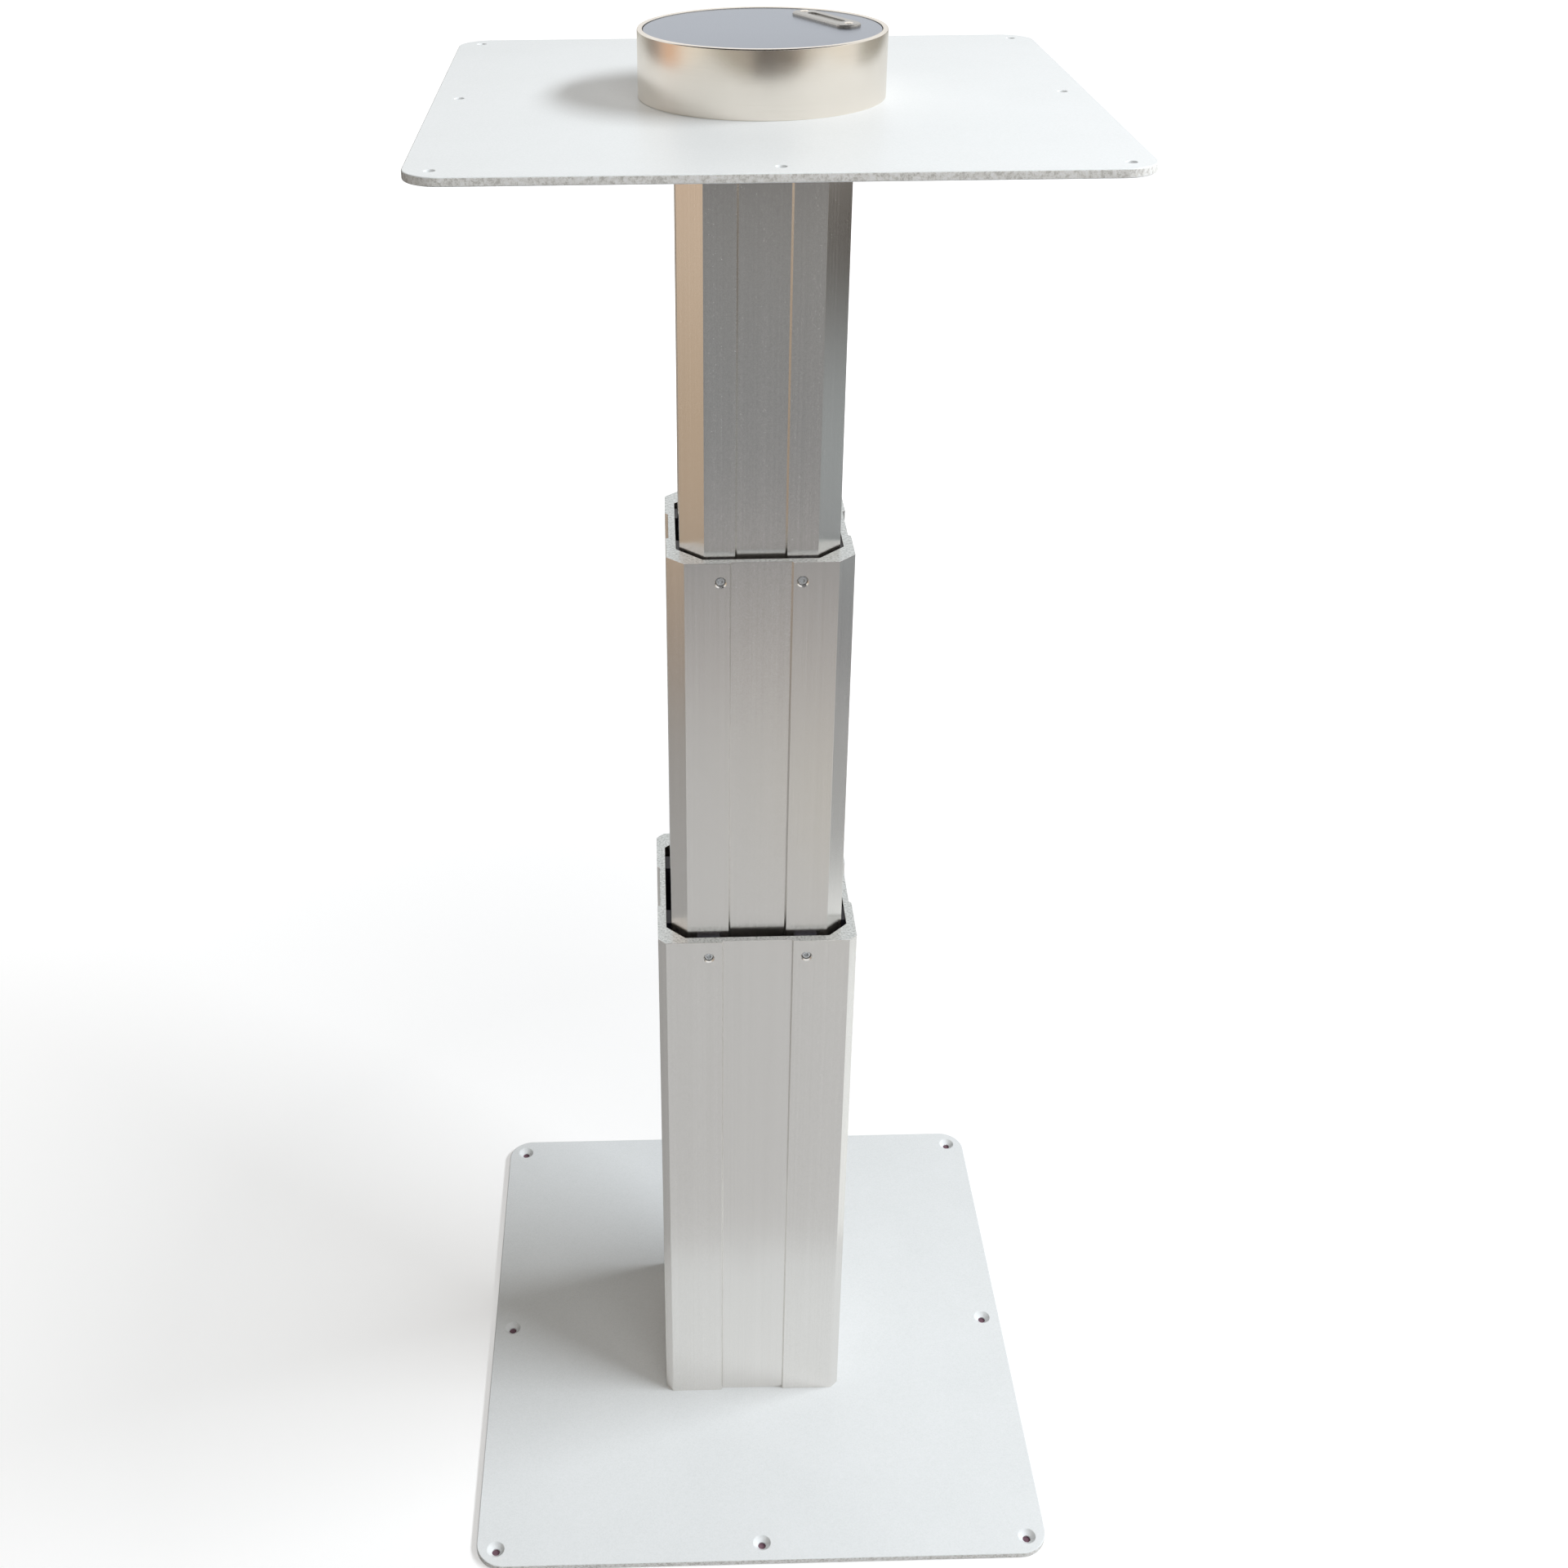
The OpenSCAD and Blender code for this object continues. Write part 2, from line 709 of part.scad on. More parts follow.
// The rubber bush that the motor's cable comes up through, beside the hand crank
module cable_grommet() {
    lip = 1.25;
    color(pom) translate([0, -grommet_y, plate_top]) difference() {
        union() {
            cylinder(d = grommet_d + 2 * lip, h = lip);
            translate([0, 0, -top_t - lip / 2]) cylinder(d = grommet_d - 2 * thread_fit, h = top_t + lip);
        }
        bore(grommet_bore, -top_t, 0);
    }
}

// ---- Gear motor ----

module motor_end_cap() {
    color(pom) difference() {
        translate([0, 0, upper_top - end_cap_t]) cylinder(d = end_cap_d, h = end_cap_t);
        bore(shaft_hole_d, upper_top - end_cap_t, upper_top);
        around(4, motor_bolt_pcd / 2)
            bore(small_screw_d, upper_top - end_cap_t, upper_top);
    }
}

module motor_screws() {
    color(steel) around(4, motor_bolt_pcd / 2) translate([0, 0, plate_top])
        sunk_screw(small_screw_d, top_t + end_cap_t - screw_end);
}

module motor_can() {
    color(steel) difference() {
        union() {
            translate([0, 0, motor_foot]) cylinder(d = motor_d, h = motor_len);
            translate([0, 0, motor_foot]) cylinder(d = gearbox_d, h = motor_flange_t);
        }
        bore(motor_shaft_d + 2 * run_clear, motor_foot, motor_foot + motor_len);
        around(4, gearbox_bolt_pcd / 2, 45)
            bore(clear_hole(gearbox_bolt_d), motor_foot, motor_foot + motor_flange_t);
    }
}

// Involute tooth form
function involute(angle) = tan(angle) * 180 / PI - angle;
function tooth_half(r, pitch_r, base_r, play) = let (teeth_angle = play / pitch_r * 90 / PI)
    involute(pressure_angle) - teeth_angle - (r > base_r ? involute(acos(base_r / r)) : 0);

// The outline of a gear, its first tooth centred on the X axis; tip and root are in modules
function gear_outline(teeth, tip, root, play) = let (
    pitch_r = gear_module * teeth / 2,
    base_r = pitch_r * cos(pressure_angle),
    root_r = pitch_r - root * gear_module,
    tip_r = pitch_r + tip * gear_module,
    start_r = max(root_r, base_r),
    flank = [root_r, for (k = [0:4]) start_r + (tip_r - start_r) * k / 4],
    half = [for (r = flank) 90 / teeth + tooth_half(r, pitch_r, base_r, play)])
    [for (n = [0:teeth - 1]) for (k = [0:11]) let (i = k < 6 ? k : 11 - k, side = k < 6 ? -1 : 1)
        turned([flank[i], 0], 360 * n / teeth + side * half[i])];

// The gearbox's body: a ring gear fixed under the motor
module gearbox_ring() {
    color(steel) difference() {
        translate([0, 0, cover_top]) linear_extrude(motor_foot - cover_top) difference() {
            circle(d = gearbox_d);
            rotate(180 / ring_teeth) polygon(gear_outline(ring_teeth, dedendum, addendum, -tooth_play));
        }
        around(4, gearbox_bolt_pcd / 2, 45) bore(gearbox_bolt_d, cover_top, motor_foot);
    }
}

module gearbox_cover() {
    color(steel) difference() {
        translate([0, 0, gearbox_foot]) cylinder(d = gearbox_d, h = cover_t);
        translate([0, 0, cover_top - output_bearing_t])
            cylinder(d = output_bearing_d, h = output_bearing_t + bore_overrun);
        bore(output_d + 3, gearbox_foot, cover_top);
        around(4, gearbox_bolt_pcd / 2, 45) bore(clear_hole(gearbox_bolt_d), gearbox_foot, cover_top);
    }
}

module gearbox_screws() {
    length = motor_foot + motor_flange_t - screw_end - gearbox_foot;
    color(steel) around(4, gearbox_bolt_pcd / 2, 45) translate([0, 0, gearbox_foot])
        mirror([0, 0, 1]) cap_screw(gearbox_bolt_d, length);
}

module output_bearing() {
    color(steel) translate([0, 0, cover_top - output_bearing_t])
        ball_bearing(output_d + 2 * run_clear, output_bearing_d - 2 * run_clear, output_bearing_t);
}

// The motor's shaft, with the sun gear below and a hexagon for a hand crank above
module motor_shaft() {
    shaft_play = 0.6;
    color(steel) {
        translate([0, 0, gear_foot]) linear_extrude(gear_w)
            polygon(gear_outline(sun_teeth, addendum, dedendum, tooth_play));
        translate([0, 0, gear_top]) cylinder(d = motor_shaft_d, h = upper_top + shaft_play - gear_top);
        translate([0, 0, upper_top + shaft_play])
            cylinder(d = across_corners(crank_flats), h = top_t + crank_rise, $fn = 6);
    }
}

module planet_gear(n) {
    color(bronze) rotate([0, 0, 360 * n / planet_count]) translate([planet_orbit, 0, gear_foot])
        difference() {
            linear_extrude(gear_w) rotate(180 / planet_teeth)
                polygon(gear_outline(planet_teeth, addendum, dedendum, tooth_play));
            bore(planet_pin_d + 2 * run_clear, 0, gear_w);
        }
}

module planet_gear_1() planet_gear(0);
module planet_gear_2() planet_gear(1);
module planet_gear_3() planet_gear(2);

// The disc and pins that carry the planets, with the output journal below
module planet_carrier() {
    color(steel) difference() {
        union() {
            translate([0, 0, disc_foot]) cylinder(d = carrier_disc_d, h = disc_t);
            around(planet_count, planet_orbit)
                translate([0, 0, disc_foot]) cylinder(d = planet_pin_d, h = gear_top - disc_foot);
            translate([0, 0, gearbox_foot - 2]) cylinder(d = output_d, h = disc_foot - gearbox_foot + 3);
        }
        translate([0, 0, gearbox_foot - 2 - bore_overrun])
            cylinder(d = across_corners(drive_flats), h = disc_top - gearbox_foot + bore_overrun, $fn = 6);
    }
}

module drive_shaft() {
    color(steel) translate([0, 0, drive_foot])
        cylinder(d = across_corners(drive_flats - 2 * thread_fit), h = disc_top - 2 - drive_foot, $fn = 6);
}

// ---- Service ring and lid ----

module service_ring() {
    bevel = 0.8;
    color(steel) difference() {
        union() {
            rotate_extrude() polygon([[ring_bore, plate_top], [ring_r, plate_top], [ring_r, ring_top - bevel],
                [ring_r - bevel, ring_top], [ring_bore, ring_top], [ring_bore, lid_foot],
                [ring_bore - ledge_w, lid_foot], [ring_bore - ledge_w, lid_foot - ledge_t],
                [ring_bore, lid_foot - 2 * ledge_t]]);
            around(4, ring_bore - tab_reach)
                translate([0, -tab_w / 2, plate_top]) cube([tab_reach + ring_wall / 2, tab_w, tab_t]);
        }
        translate([0, 0, plate_top])
            around(4, ring_bore - tab_reach / 2) bore(clear_hole(small_screw_d), 0, tab_t);
    }
}

module service_ring_screws() {
    color(steel) translate([0, 0, plate_top + tab_t])
        around(4, ring_bore - tab_reach / 2) cap_screw(small_screw_d, tab_t + top_t - screw_end);
}

// Puts its children on the lid, along the pull
module at_pull() {
    rotate([0, 0, pull_turn]) translate([pull_offset, 0, lid_foot + lid_t])
        rotate([0, 0, pull_angle - pull_turn]) children();
}

module pull_outline(length, width) {
    c = (length - width) / 2;
    square([2 * c, width], center = true);
    for (x = [-c, c])
        translate([x, 0]) circle(d = width);
}

module lid() {
    color(steel) difference() {
        translate([0, 0, lid_foot]) cylinder(r = ring_bore - lid_clear, h = lid_t);
        at_pull() for (x = [-rivet_x, rivet_x])
            translate([x, 0, 0]) bore(rivet_d, -lid_t, 0);
    }
}

module lid_pull() {
    dish = 0.4 * pull_h;
    color(steel) at_pull() difference() {
        linear_extrude(pull_h) pull_outline(pull_len, pull_w);
        translate([0, 0, dish]) linear_extrude(pull_h) pull_outline(pull_slot_len, pull_slot_w);
        for (x = [-rivet_x, rivet_x])
            translate([x, 0, 0]) bore(rivet_d, 0, pull_h);
    }
}

module lid_pull_rivets() {
    dome = 0.5;
    color(steel) at_pull() for (x = [-rivet_x, rivet_x])
        translate([x, 0, -lid_t]) {
            cylinder(d = rivet_d - 2 * thread_fit, h = lid_t + pull_h);
            translate([0, 0, lid_t + pull_h]) cylinder(d1 = rivet_d + 1, d2 = rivet_d - 1, h = dome);
        }
}

base_plate();
lower_tube();
column_screws();
base_screw();
base_screw_bolts();
lower_guide_pads();
lower_pad_screws();
middle_tube();
middle_guide_pads();
middle_pad_screws();
middle_shoes();
middle_carrier();
middle_carrier_screws();
screw_tube_bearing();
screw_tube();
screw_tube_nut();
hex_coupling();
screw_tube_circlip();
upper_tube();
upper_shoes();
nut_carrier();
nut_carrier_screws();
lift_nut();
lift_nut_screws();
top_plate();
top_plate_screws();
cable_grommet();
motor_can();
motor_end_cap();
motor_screws();
motor_shaft();
gearbox_ring();
gearbox_cover();
gearbox_screws();
output_bearing();
planet_carrier();
planet_gear_1();
planet_gear_2();
planet_gear_3();
drive_shaft();
service_ring();
service_ring_screws();
lid();
lid_pull();
lid_pull_rivets();
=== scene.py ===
"""Looks of the three-stage electric lifting column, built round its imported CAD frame.

All lengths are metres, in the same frame as the CAD: Z up, the floor plate's underside at z = 0.
"""
import math

import bpy
from mathutils import Matrix, Vector


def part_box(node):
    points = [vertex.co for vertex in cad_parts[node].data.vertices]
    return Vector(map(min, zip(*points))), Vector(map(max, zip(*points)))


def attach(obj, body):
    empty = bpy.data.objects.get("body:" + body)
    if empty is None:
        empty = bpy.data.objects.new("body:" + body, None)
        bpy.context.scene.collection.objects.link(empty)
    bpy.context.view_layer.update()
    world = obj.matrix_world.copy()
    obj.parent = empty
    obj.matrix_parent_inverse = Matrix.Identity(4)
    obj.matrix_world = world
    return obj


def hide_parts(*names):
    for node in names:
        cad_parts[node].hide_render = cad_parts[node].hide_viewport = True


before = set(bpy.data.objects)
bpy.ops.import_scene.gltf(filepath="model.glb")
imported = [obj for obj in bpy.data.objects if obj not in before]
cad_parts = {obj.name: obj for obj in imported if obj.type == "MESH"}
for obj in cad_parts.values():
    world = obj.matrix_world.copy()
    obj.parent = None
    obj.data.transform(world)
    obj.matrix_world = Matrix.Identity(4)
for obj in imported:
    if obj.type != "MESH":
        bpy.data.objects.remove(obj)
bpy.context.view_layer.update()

MM = 0.001
SAME = 0.001 * MM           # two heights or radii that are closer than this are one
MERGE = 0.002 * MM          # two corners of a mesh that are closer than this become one
NEAR = 0.01 * MM            # a corner that is nearer a plane than this lies on it

base_lo, base_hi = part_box("base_plate")
table_lo, table_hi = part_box("top_plate")
ring_lo, ring_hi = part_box("service_ring")
lid_lo, lid_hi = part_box("lid")


# ---------------------------------------------------------------- camera

CAMERA_AT = (-0.0538, -0.9128, 1.0103)  # in front of the column and above the table plate
YAW, PITCH, ROLL = -0.0198, -0.5105, -0.0079    # radians, positive to the left, up and anticlockwise
LENS, SENSOR = 42.61, 36                # millimetres
SHIFT = (0.0590, -0.0527)               # shares of the sensor


def place_camera():
    """Sets up a camera that looks along Y until it is turned by its yaw, pitch and roll."""
    ahead = Vector((-math.sin(YAW) * math.cos(PITCH), math.cos(YAW) * math.cos(PITCH), math.sin(PITCH)))
    level = Vector((math.cos(YAW), math.sin(YAW), 0))
    over = level.cross(ahead)
    side = level * math.cos(ROLL) + over * math.sin(ROLL)
    up = over * math.cos(ROLL) - level * math.sin(ROLL)
    data = bpy.data.cameras.new("camera")
    data.lens, data.sensor_width = LENS, SENSOR
    data.shift_x, data.shift_y = SHIFT
    camera = bpy.data.objects.new("camera", data)
    camera.matrix_world = Matrix.Translation(CAMERA_AT) @ Matrix((side, up, -ahead)).transposed().to_4x4()
    bpy.context.scene.collection.objects.link(camera)
    bpy.context.scene.camera = camera


place_camera()


# ---------------------------------------------------------------- finishes

# Blasted, plated, ground and machined surfaces have grains under a tenth of a millimetre, too fine to
# show at this size. They are drawn 0.5 to 1.5 mm wide, so that they show as a faint mottle.

NOISE_SPAN = {"From Min": 0.3, "From Max": 0.7}     # nearly all of a noise pattern's values lie in here
METAL = {"Metallic": 1.0}
COAT = {"IOR": 1.5}
RUBBER = {"IOR": 1.5}
ACETAL = {"IOR": 1.48}
# Stuff of the dark sheet that paints the shadow under the floor plate
PAINTED_SHADOW = {"IOR": 1.5}


def tone(code):
    """A colour written as sRGB hex, turned to the linear values that Blender works in."""
    parts = [int(code[i:i + 2], 16) / 255 for i in (0, 2, 4)]
    return [p / 12.92 if p <= 0.04045 else ((p + 0.055) / 1.055) ** 2.4 for p in parts] + [1.0]


def add(finish, kind, settings=None, links=None):
    """Adds one node to a finish, with its settings and what feeds its sockets.

    A setting is the value of a socket or of a property, or the stops of a colour ramp: (place, colour)."""
    node = finish.node_tree.nodes.new(kind)
    for name, value in (settings or {}).items():
        if name == "stops":
            while len(node.color_ramp.elements) < len(value):
                node.color_ramp.elements.new(1.0)
            for stop, (at, code) in zip(node.color_ramp.elements, value):
                stop.position, stop.color = at, tone(code)
        elif isinstance(name, int) or name in node.inputs:
            node.inputs[name].default_value = value
        else:
            setattr(node, name, value)
    for socket, source in (links or {}).items():
        finish.node_tree.links.new(source, node.inputs[socket])
    return node


def new_finish(name):
    """An empty finish."""
    finish = bpy.data.materials.new(name)
    finish.use_nodes = True
    finish.node_tree.nodes.clear()
    return finish


def white_powder_coat():
    """Powder coat on steel, sprayed and baked: satin, with a fine orange peel and faint clouds of tone."""
    peel, cloud = 0.9 * MM, 45 * MM
    finish = new_finish("white_powder_coat")
    place = add(finish, "ShaderNodeTexCoord").outputs["Object"]
    clouds = add(finish, "ShaderNodeTexNoise", {"Scale": 1 / cloud, "Detail": 3.0}, {"Vector": place})
    grain = add(finish, "ShaderNodeTexNoise", {"Scale": 1 / peel, "Detail": 2.0}, {"Vector": place})
    faint = add(finish, "ShaderNodeMath", {"operation": "MULTIPLY", 1: 0.20}, {0: clouds.outputs["Fac"]})
    both = add(finish, "ShaderNodeMath", {"operation": "MULTIPLY_ADD", 1: 0.55},
               {0: grain.outputs["Fac"], 2: faint.outputs[0]})
    colour = add(finish, "ShaderNodeValToRGB",
                 {"stops": [(0.175, "e6e9ea"), (0.375, "edf0f1"), (0.575, "f3f5f7")]},
                 {"Fac": both.outputs[0]})
    gloss = add(finish, "ShaderNodeMapRange", {"To Min": 0.29, "To Max": 0.35},
                {"Value": clouds.outputs["Fac"]})
    bump = add(finish, "ShaderNodeBump", {"Strength": 0.35, "Distance": 0.04 * MM},
               {"Height": grain.outputs["Fac"]})
    coat = add(finish, "ShaderNodeBsdfPrincipled", COAT, {
        "Base Color": colour.outputs["Color"], "Roughness": gloss.outputs[0], "Normal": bump.outputs[0]})
    add(finish, "ShaderNodeOutputMaterial", links={"Surface": coat.outputs[0]})
    return finish


def coated_cut_edge():
    """The plates' flame-cut edges under their coat: the cut's ridges show as grit in grey and white."""
    ridge = 1.6 * MM
    finish = new_finish("coated_cut_edge")
    place = add(finish, "ShaderNodeTexCoord").outputs["Object"]
    grit = add(finish, "ShaderNodeTexNoise", {"Scale": 1 / ridge, "Detail": 4.0, "Roughness": 0.7},
               {"Vector": place})
    colour = add(finish, "ShaderNodeValToRGB",
                 {"stops": [(0.38, "cfcdc9"), (0.5, "eeedea"), (0.62, "fafafa")]},
                 {"Fac": grit.outputs["Fac"]})
    bump = add(finish, "ShaderNodeBump", {"Strength": 0.7, "Distance": 0.2 * MM},
               {"Height": grit.outputs["Fac"]})
    coat = add(finish, "ShaderNodeBsdfPrincipled", {**COAT, "Roughness": 0.45}, {
        "Base Color": colour.outputs["Color"], "Normal": bump.outputs[0]})
    add(finish, "ShaderNodeOutputMaterial", links={"Surface": coat.outputs[0]})
    return finish


def clear_anodised_aluminium():
    """Extruded, blasted and clear anodised: an even soft sheen, with faint lines along Z from the die.

    Real die lines and blasting grain are under a tenth of a millimetre. Both are drawn coarser, to show."""
    line, grit = 0.9 * MM, 0.55 * MM
    stretch = 500   # times as long as they are wide
    finish = new_finish("clear_anodised_aluminium")
    place = add(finish, "ShaderNodeTexCoord").outputs["Object"]
    along = add(finish, "ShaderNodeMapping", {"Scale": (1, 1, 1 / stretch)}, {"Vector": place})
    lines = add(finish, "ShaderNodeTexNoise", {"Scale": 1 / line, "Detail": 4.0, "Roughness": 0.65},
                {"Vector": along.outputs[0]})
    grain = add(finish, "ShaderNodeTexNoise", {"Scale": 1 / grit, "Detail": 3.0, "Roughness": 0.7},
                {"Vector": place})
    mixed = add(finish, "ShaderNodeMix", {"data_type": "FLOAT", "Factor": 0.72},
                {"A": lines.outputs["Fac"], "B": grain.outputs["Fac"]})
    colour = add(finish, "ShaderNodeValToRGB", {"stops": [(0.36, "e2dfdb"), (0.64, "f1eeeb")]},
                 {"Fac": mixed.outputs[0]})
    gloss = add(finish, "ShaderNodeMapRange", {**NOISE_SPAN, "To Min": 0.20, "To Max": 0.28},
                {"Value": mixed.outputs[0]})
    bump = add(finish, "ShaderNodeBump", {"Strength": 0.3, "Distance": 0.01 * MM},
               {"Height": mixed.outputs[0]})
    metal = add(finish, "ShaderNodeBsdfPrincipled", METAL, {
        "Base Color": colour.outputs["Color"], "Roughness": gloss.outputs[0], "Normal": bump.outputs[0]})
    add(finish, "ShaderNodeOutputMaterial", links={"Surface": metal.outputs[0]})
    return finish


def turned_stainless():
    """Polished on the lathe: hair-fine lines round Z, which draw what it mirrors out into bands along Z.

    Real polishing lines are hundredths of a millimetre wide. They are drawn 0.5 mm wide, so they show."""
    line, haze_patch = 0.5 * MM, 9 * MM
    stretch = 50    # times as long as they are wide
    finish = new_finish("turned_stainless")
    place = add(finish, "ShaderNodeTexCoord").outputs["Object"]
    around = add(finish, "ShaderNodeMapping", {"Scale": (1 / stretch, 1 / stretch, 1)}, {"Vector": place})
    lines = add(finish, "ShaderNodeTexNoise", {"Scale": 1 / line, "Detail": 4.0, "Roughness": 0.7},
                {"Vector": around.outputs[0]})
    haze = add(finish, "ShaderNodeTexNoise", {"Scale": 1 / haze_patch, "Detail": 2.0}, {"Vector": place})
    colour = add(finish, "ShaderNodeValToRGB", {"stops": [(0.2, "efe8dd"), (0.8, "f5eee4")]},
                 {"Fac": lines.outputs["Fac"]})
    gloss = add(finish, "ShaderNodeMapRange", {**NOISE_SPAN, "To Min": 0.22, "To Max": 0.25},
                {"Value": haze.outputs["Fac"]})
    tangent = add(finish, "ShaderNodeTangent", {"direction_type": "RADIAL", "axis": "Z"})
    metal = add(finish, "ShaderNodeBsdfPrincipled", {**METAL, "Anisotropic": 0.85}, {
        "Base Color": colour.outputs["Color"], "Roughness": gloss.outputs[0], "Tangent": tangent.outputs[0]})
    add(finish, "ShaderNodeOutputMaterial", links={"Surface": metal.outputs[0]})
    return finish


def grained(name, dark, light, rough, grain_width, depth, stuff):
    """A surface with an even fine grain in two tones, between two values of roughness."""
    finish = new_finish(name)
    place = add(finish, "ShaderNodeTexCoord").outputs["Object"]
    grain = add(finish, "ShaderNodeTexNoise", {"Scale": 1 / grain_width, "Detail": 3.0}, {"Vector": place})
    colour = add(finish, "ShaderNodeValToRGB", {"stops": [(0.35, dark), (0.65, light)]},
                 {"Fac": grain.outputs["Fac"]})
    gloss = add(finish, "ShaderNodeMapRange", {**NOISE_SPAN, "To Min": rough[0], "To Max": rough[1]},
                {"Value": grain.outputs["Fac"]})
    bump = add(finish, "ShaderNodeBump", {"Strength": 0.3, "Distance": depth},
               {"Height": grain.outputs["Fac"]})
    body = add(finish, "ShaderNodeBsdfPrincipled", stuff, {
        "Base Color": colour.outputs["Color"], "Roughness": gloss.outputs[0], "Normal": bump.outputs[0]})
    add(finish, "ShaderNodeOutputMaterial", links={"Surface": body.outputs[0]})
    return finish


FINISHES = {
    "powder_coated_steel": white_powder_coat(),
    "coated_cut_edge": coated_cut_edge(),
    "anodised_aluminium": clear_anodised_aluminium(),
    "polished_stainless": turned_stainless(),
    # Sawn to length and deburred: bright, with the saw's marks a little over a millimetre apart
    "sawn_aluminium": grained("sawn_aluminium", "c2c6c5", "ebeeee", (0.26, 0.38), 1.3 * MM, 0.03 * MM, METAL),
    # Milled from plate: a plain grey with a soft shine
    "milled_aluminium": grained("milled_aluminium", "bdbdbc", "d2d2d1", (0.28, 0.4), 1.2 * MM, 0.01 * MM,
                                METAL),
    # Zinc plated and passivated: bright, a little blue
    "zinc_plated_steel": grained("zinc_plated_steel", "d0d3d5", "e4e6e8", (0.20, 0.32), 0.8 * MM, 0.01 * MM,
                                 METAL),
    # Ground to size: grey and nearly smooth
    "ground_steel": grained("ground_steel", "a2a2a2", "b5b5b5", (0.2, 0.3), 0.5 * MM, 0.005 * MM, METAL),
    # Moulded rubber: black and dull
    "black_rubber": grained("black_rubber", "1b1b1c", "262627", (0.6, 0.75), 0.8 * MM, 0.02 * MM, RUBBER),
    # Machined acetal: black with a waxy sheen. The guide pads' has a blue cast where the rims show it
    "black_acetal": grained("black_acetal", "1b1b1e", "28282c", (0.32, 0.42), 1.5 * MM, 0.01 * MM, ACETAL),
    "pad_acetal": grained("pad_acetal", "24242e", "30303c", (0.32, 0.42), 1.5 * MM, 0.01 * MM, ACETAL),
    # Turned bronze: yellow-brown with a soft shine
    "bearing_bronze": grained("bearing_bronze", "a9854a", "c29f63", (0.25, 0.38), 0.8 * MM, 0.01 * MM, METAL),
    # Bead-blasted stainless sheet: matt and a little blue
    "satin_stainless": grained("satin_stainless", "a1a7b2", "b0b6bf", (0.34, 0.44), 0.7 * MM, 0.01 * MM,
                               METAL),
    # Pressed from stainless sheet and tumbled: softly shining, a little warmer than the lid
    "satin_pull": grained("satin_pull", "a8a6a2", "bcbab6", (0.26, 0.38), 0.6 * MM, 0.01 * MM, METAL),
}

for name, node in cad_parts.items():
    for worn in node.material_slots:
        worn.material = FINISHES["pad_acetal" if name.endswith("guide_pads")
                                 else worn.material.name.split(".")[0]]


# ---------------------------------------------------------------- making pieces by hand

def take(piece):
    """Selects one piece alone and makes it the active one."""
    bpy.ops.object.select_all(action="DESELECT")
    piece.select_set(True)
    bpy.context.view_layer.objects.active = piece


def add_start(primitive, name, **where):
    """Adds a primitive at its size and place, alone selected, with that place put into its mesh."""
    bpy.ops.object.select_all(action="DESELECT")
    primitive(**where)
    piece = bpy.context.active_object
    piece.name = name
    bpy.ops.object.transform_apply(location=True, rotation=True, scale=True)
    return piece


def pick(piece, kind, wanted):
    """Goes into edit mode with only those edges or faces selected whose corners pass the test."""
    take(piece)
    mesh = piece.data
    for parts in (mesh.vertices, mesh.edges, mesh.polygons):
        parts.foreach_set("select", [False] * len(parts))
    for item in mesh.edges if kind == "EDGE" else mesh.polygons:
        if wanted([mesh.vertices[i].co for i in item.vertices], item):
            item.select = True
            for i in item.vertices:
                mesh.vertices[i].select = True
    bpy.context.tool_settings.mesh_select_mode = (False, kind == "EDGE", kind == "FACE")
    bpy.ops.object.mode_set(mode="EDIT")


def upright(at):
    """True for an edge, given by its two corners, that runs up more than a plate's rounding does."""
    return abs(at[0].z - at[1].z) > MM


def done(piece, angle=30):
    """Closes doubles, turns the faces outwards and shades bends of less than the angle smooth."""
    take(piece)
    bpy.ops.object.mode_set(mode="EDIT")
    bpy.ops.mesh.select_all(action="SELECT")
    bpy.ops.mesh.remove_doubles(threshold=MERGE)
    bpy.ops.mesh.normals_make_consistent(inside=False)
    bpy.ops.object.mode_set(mode="OBJECT")
    bpy.ops.object.shade_smooth_by_angle(angle=math.radians(angle))
    even = piece.modifiers.new("even", "WEIGHTED_NORMAL")
    even.keep_sharp = True
    bpy.ops.object.modifier_apply(modifier=even.name)
    return piece


def turned(name, rings, steps=64, hollow=False):
    """Turns a piece as on a lathe: a circle that is extruded ring by ring, (radius, height).

    A hollow piece is a wall without end discs, and it stays open between its last ring and its first."""
    radius, z = rings[0]
    piece = add_start(bpy.ops.mesh.primitive_circle_add, name, vertices=steps, radius=radius,
                      location=(0, 0, z), fill_type="NOTHING" if hollow else "NGON")
    extrude = bpy.ops.mesh.extrude_edges_move if hollow else bpy.ops.mesh.extrude_region_move
    bpy.ops.object.mode_set(mode="EDIT")
    bpy.ops.mesh.select_all(action="SELECT")
    for wider, higher in rings[1:]:
        extrude(TRANSFORM_OT_translate={"value": (0, 0, higher - z)})
        if abs(wider - radius) > SAME:
            bpy.ops.transform.resize(value=(wider / radius, wider / radius, 1),
                                     center_override=(0, 0, higher))
        radius, z = wider, higher
    bpy.ops.object.mode_set(mode="OBJECT")
    return done(piece)


def joined(name, pieces):
    """Makes one piece of several."""
    take(pieces[0])
    for piece in pieces:
        piece.select_set(True)
    if len(pieces) > 1:
        bpy.ops.object.join()
    pieces[0].name = name
    return pieces[0]


def copied(piece, places):
    """Copies of a piece, each with its own mesh, put through the given matrices."""
    copies = []
    for place in places:
        twin = bpy.data.objects.new(piece.name, piece.data.copy())
        bpy.context.scene.collection.objects.link(twin)
        twin.data.transform(place)
        copies.append(twin)
    bpy.data.objects.remove(piece)
    return copies


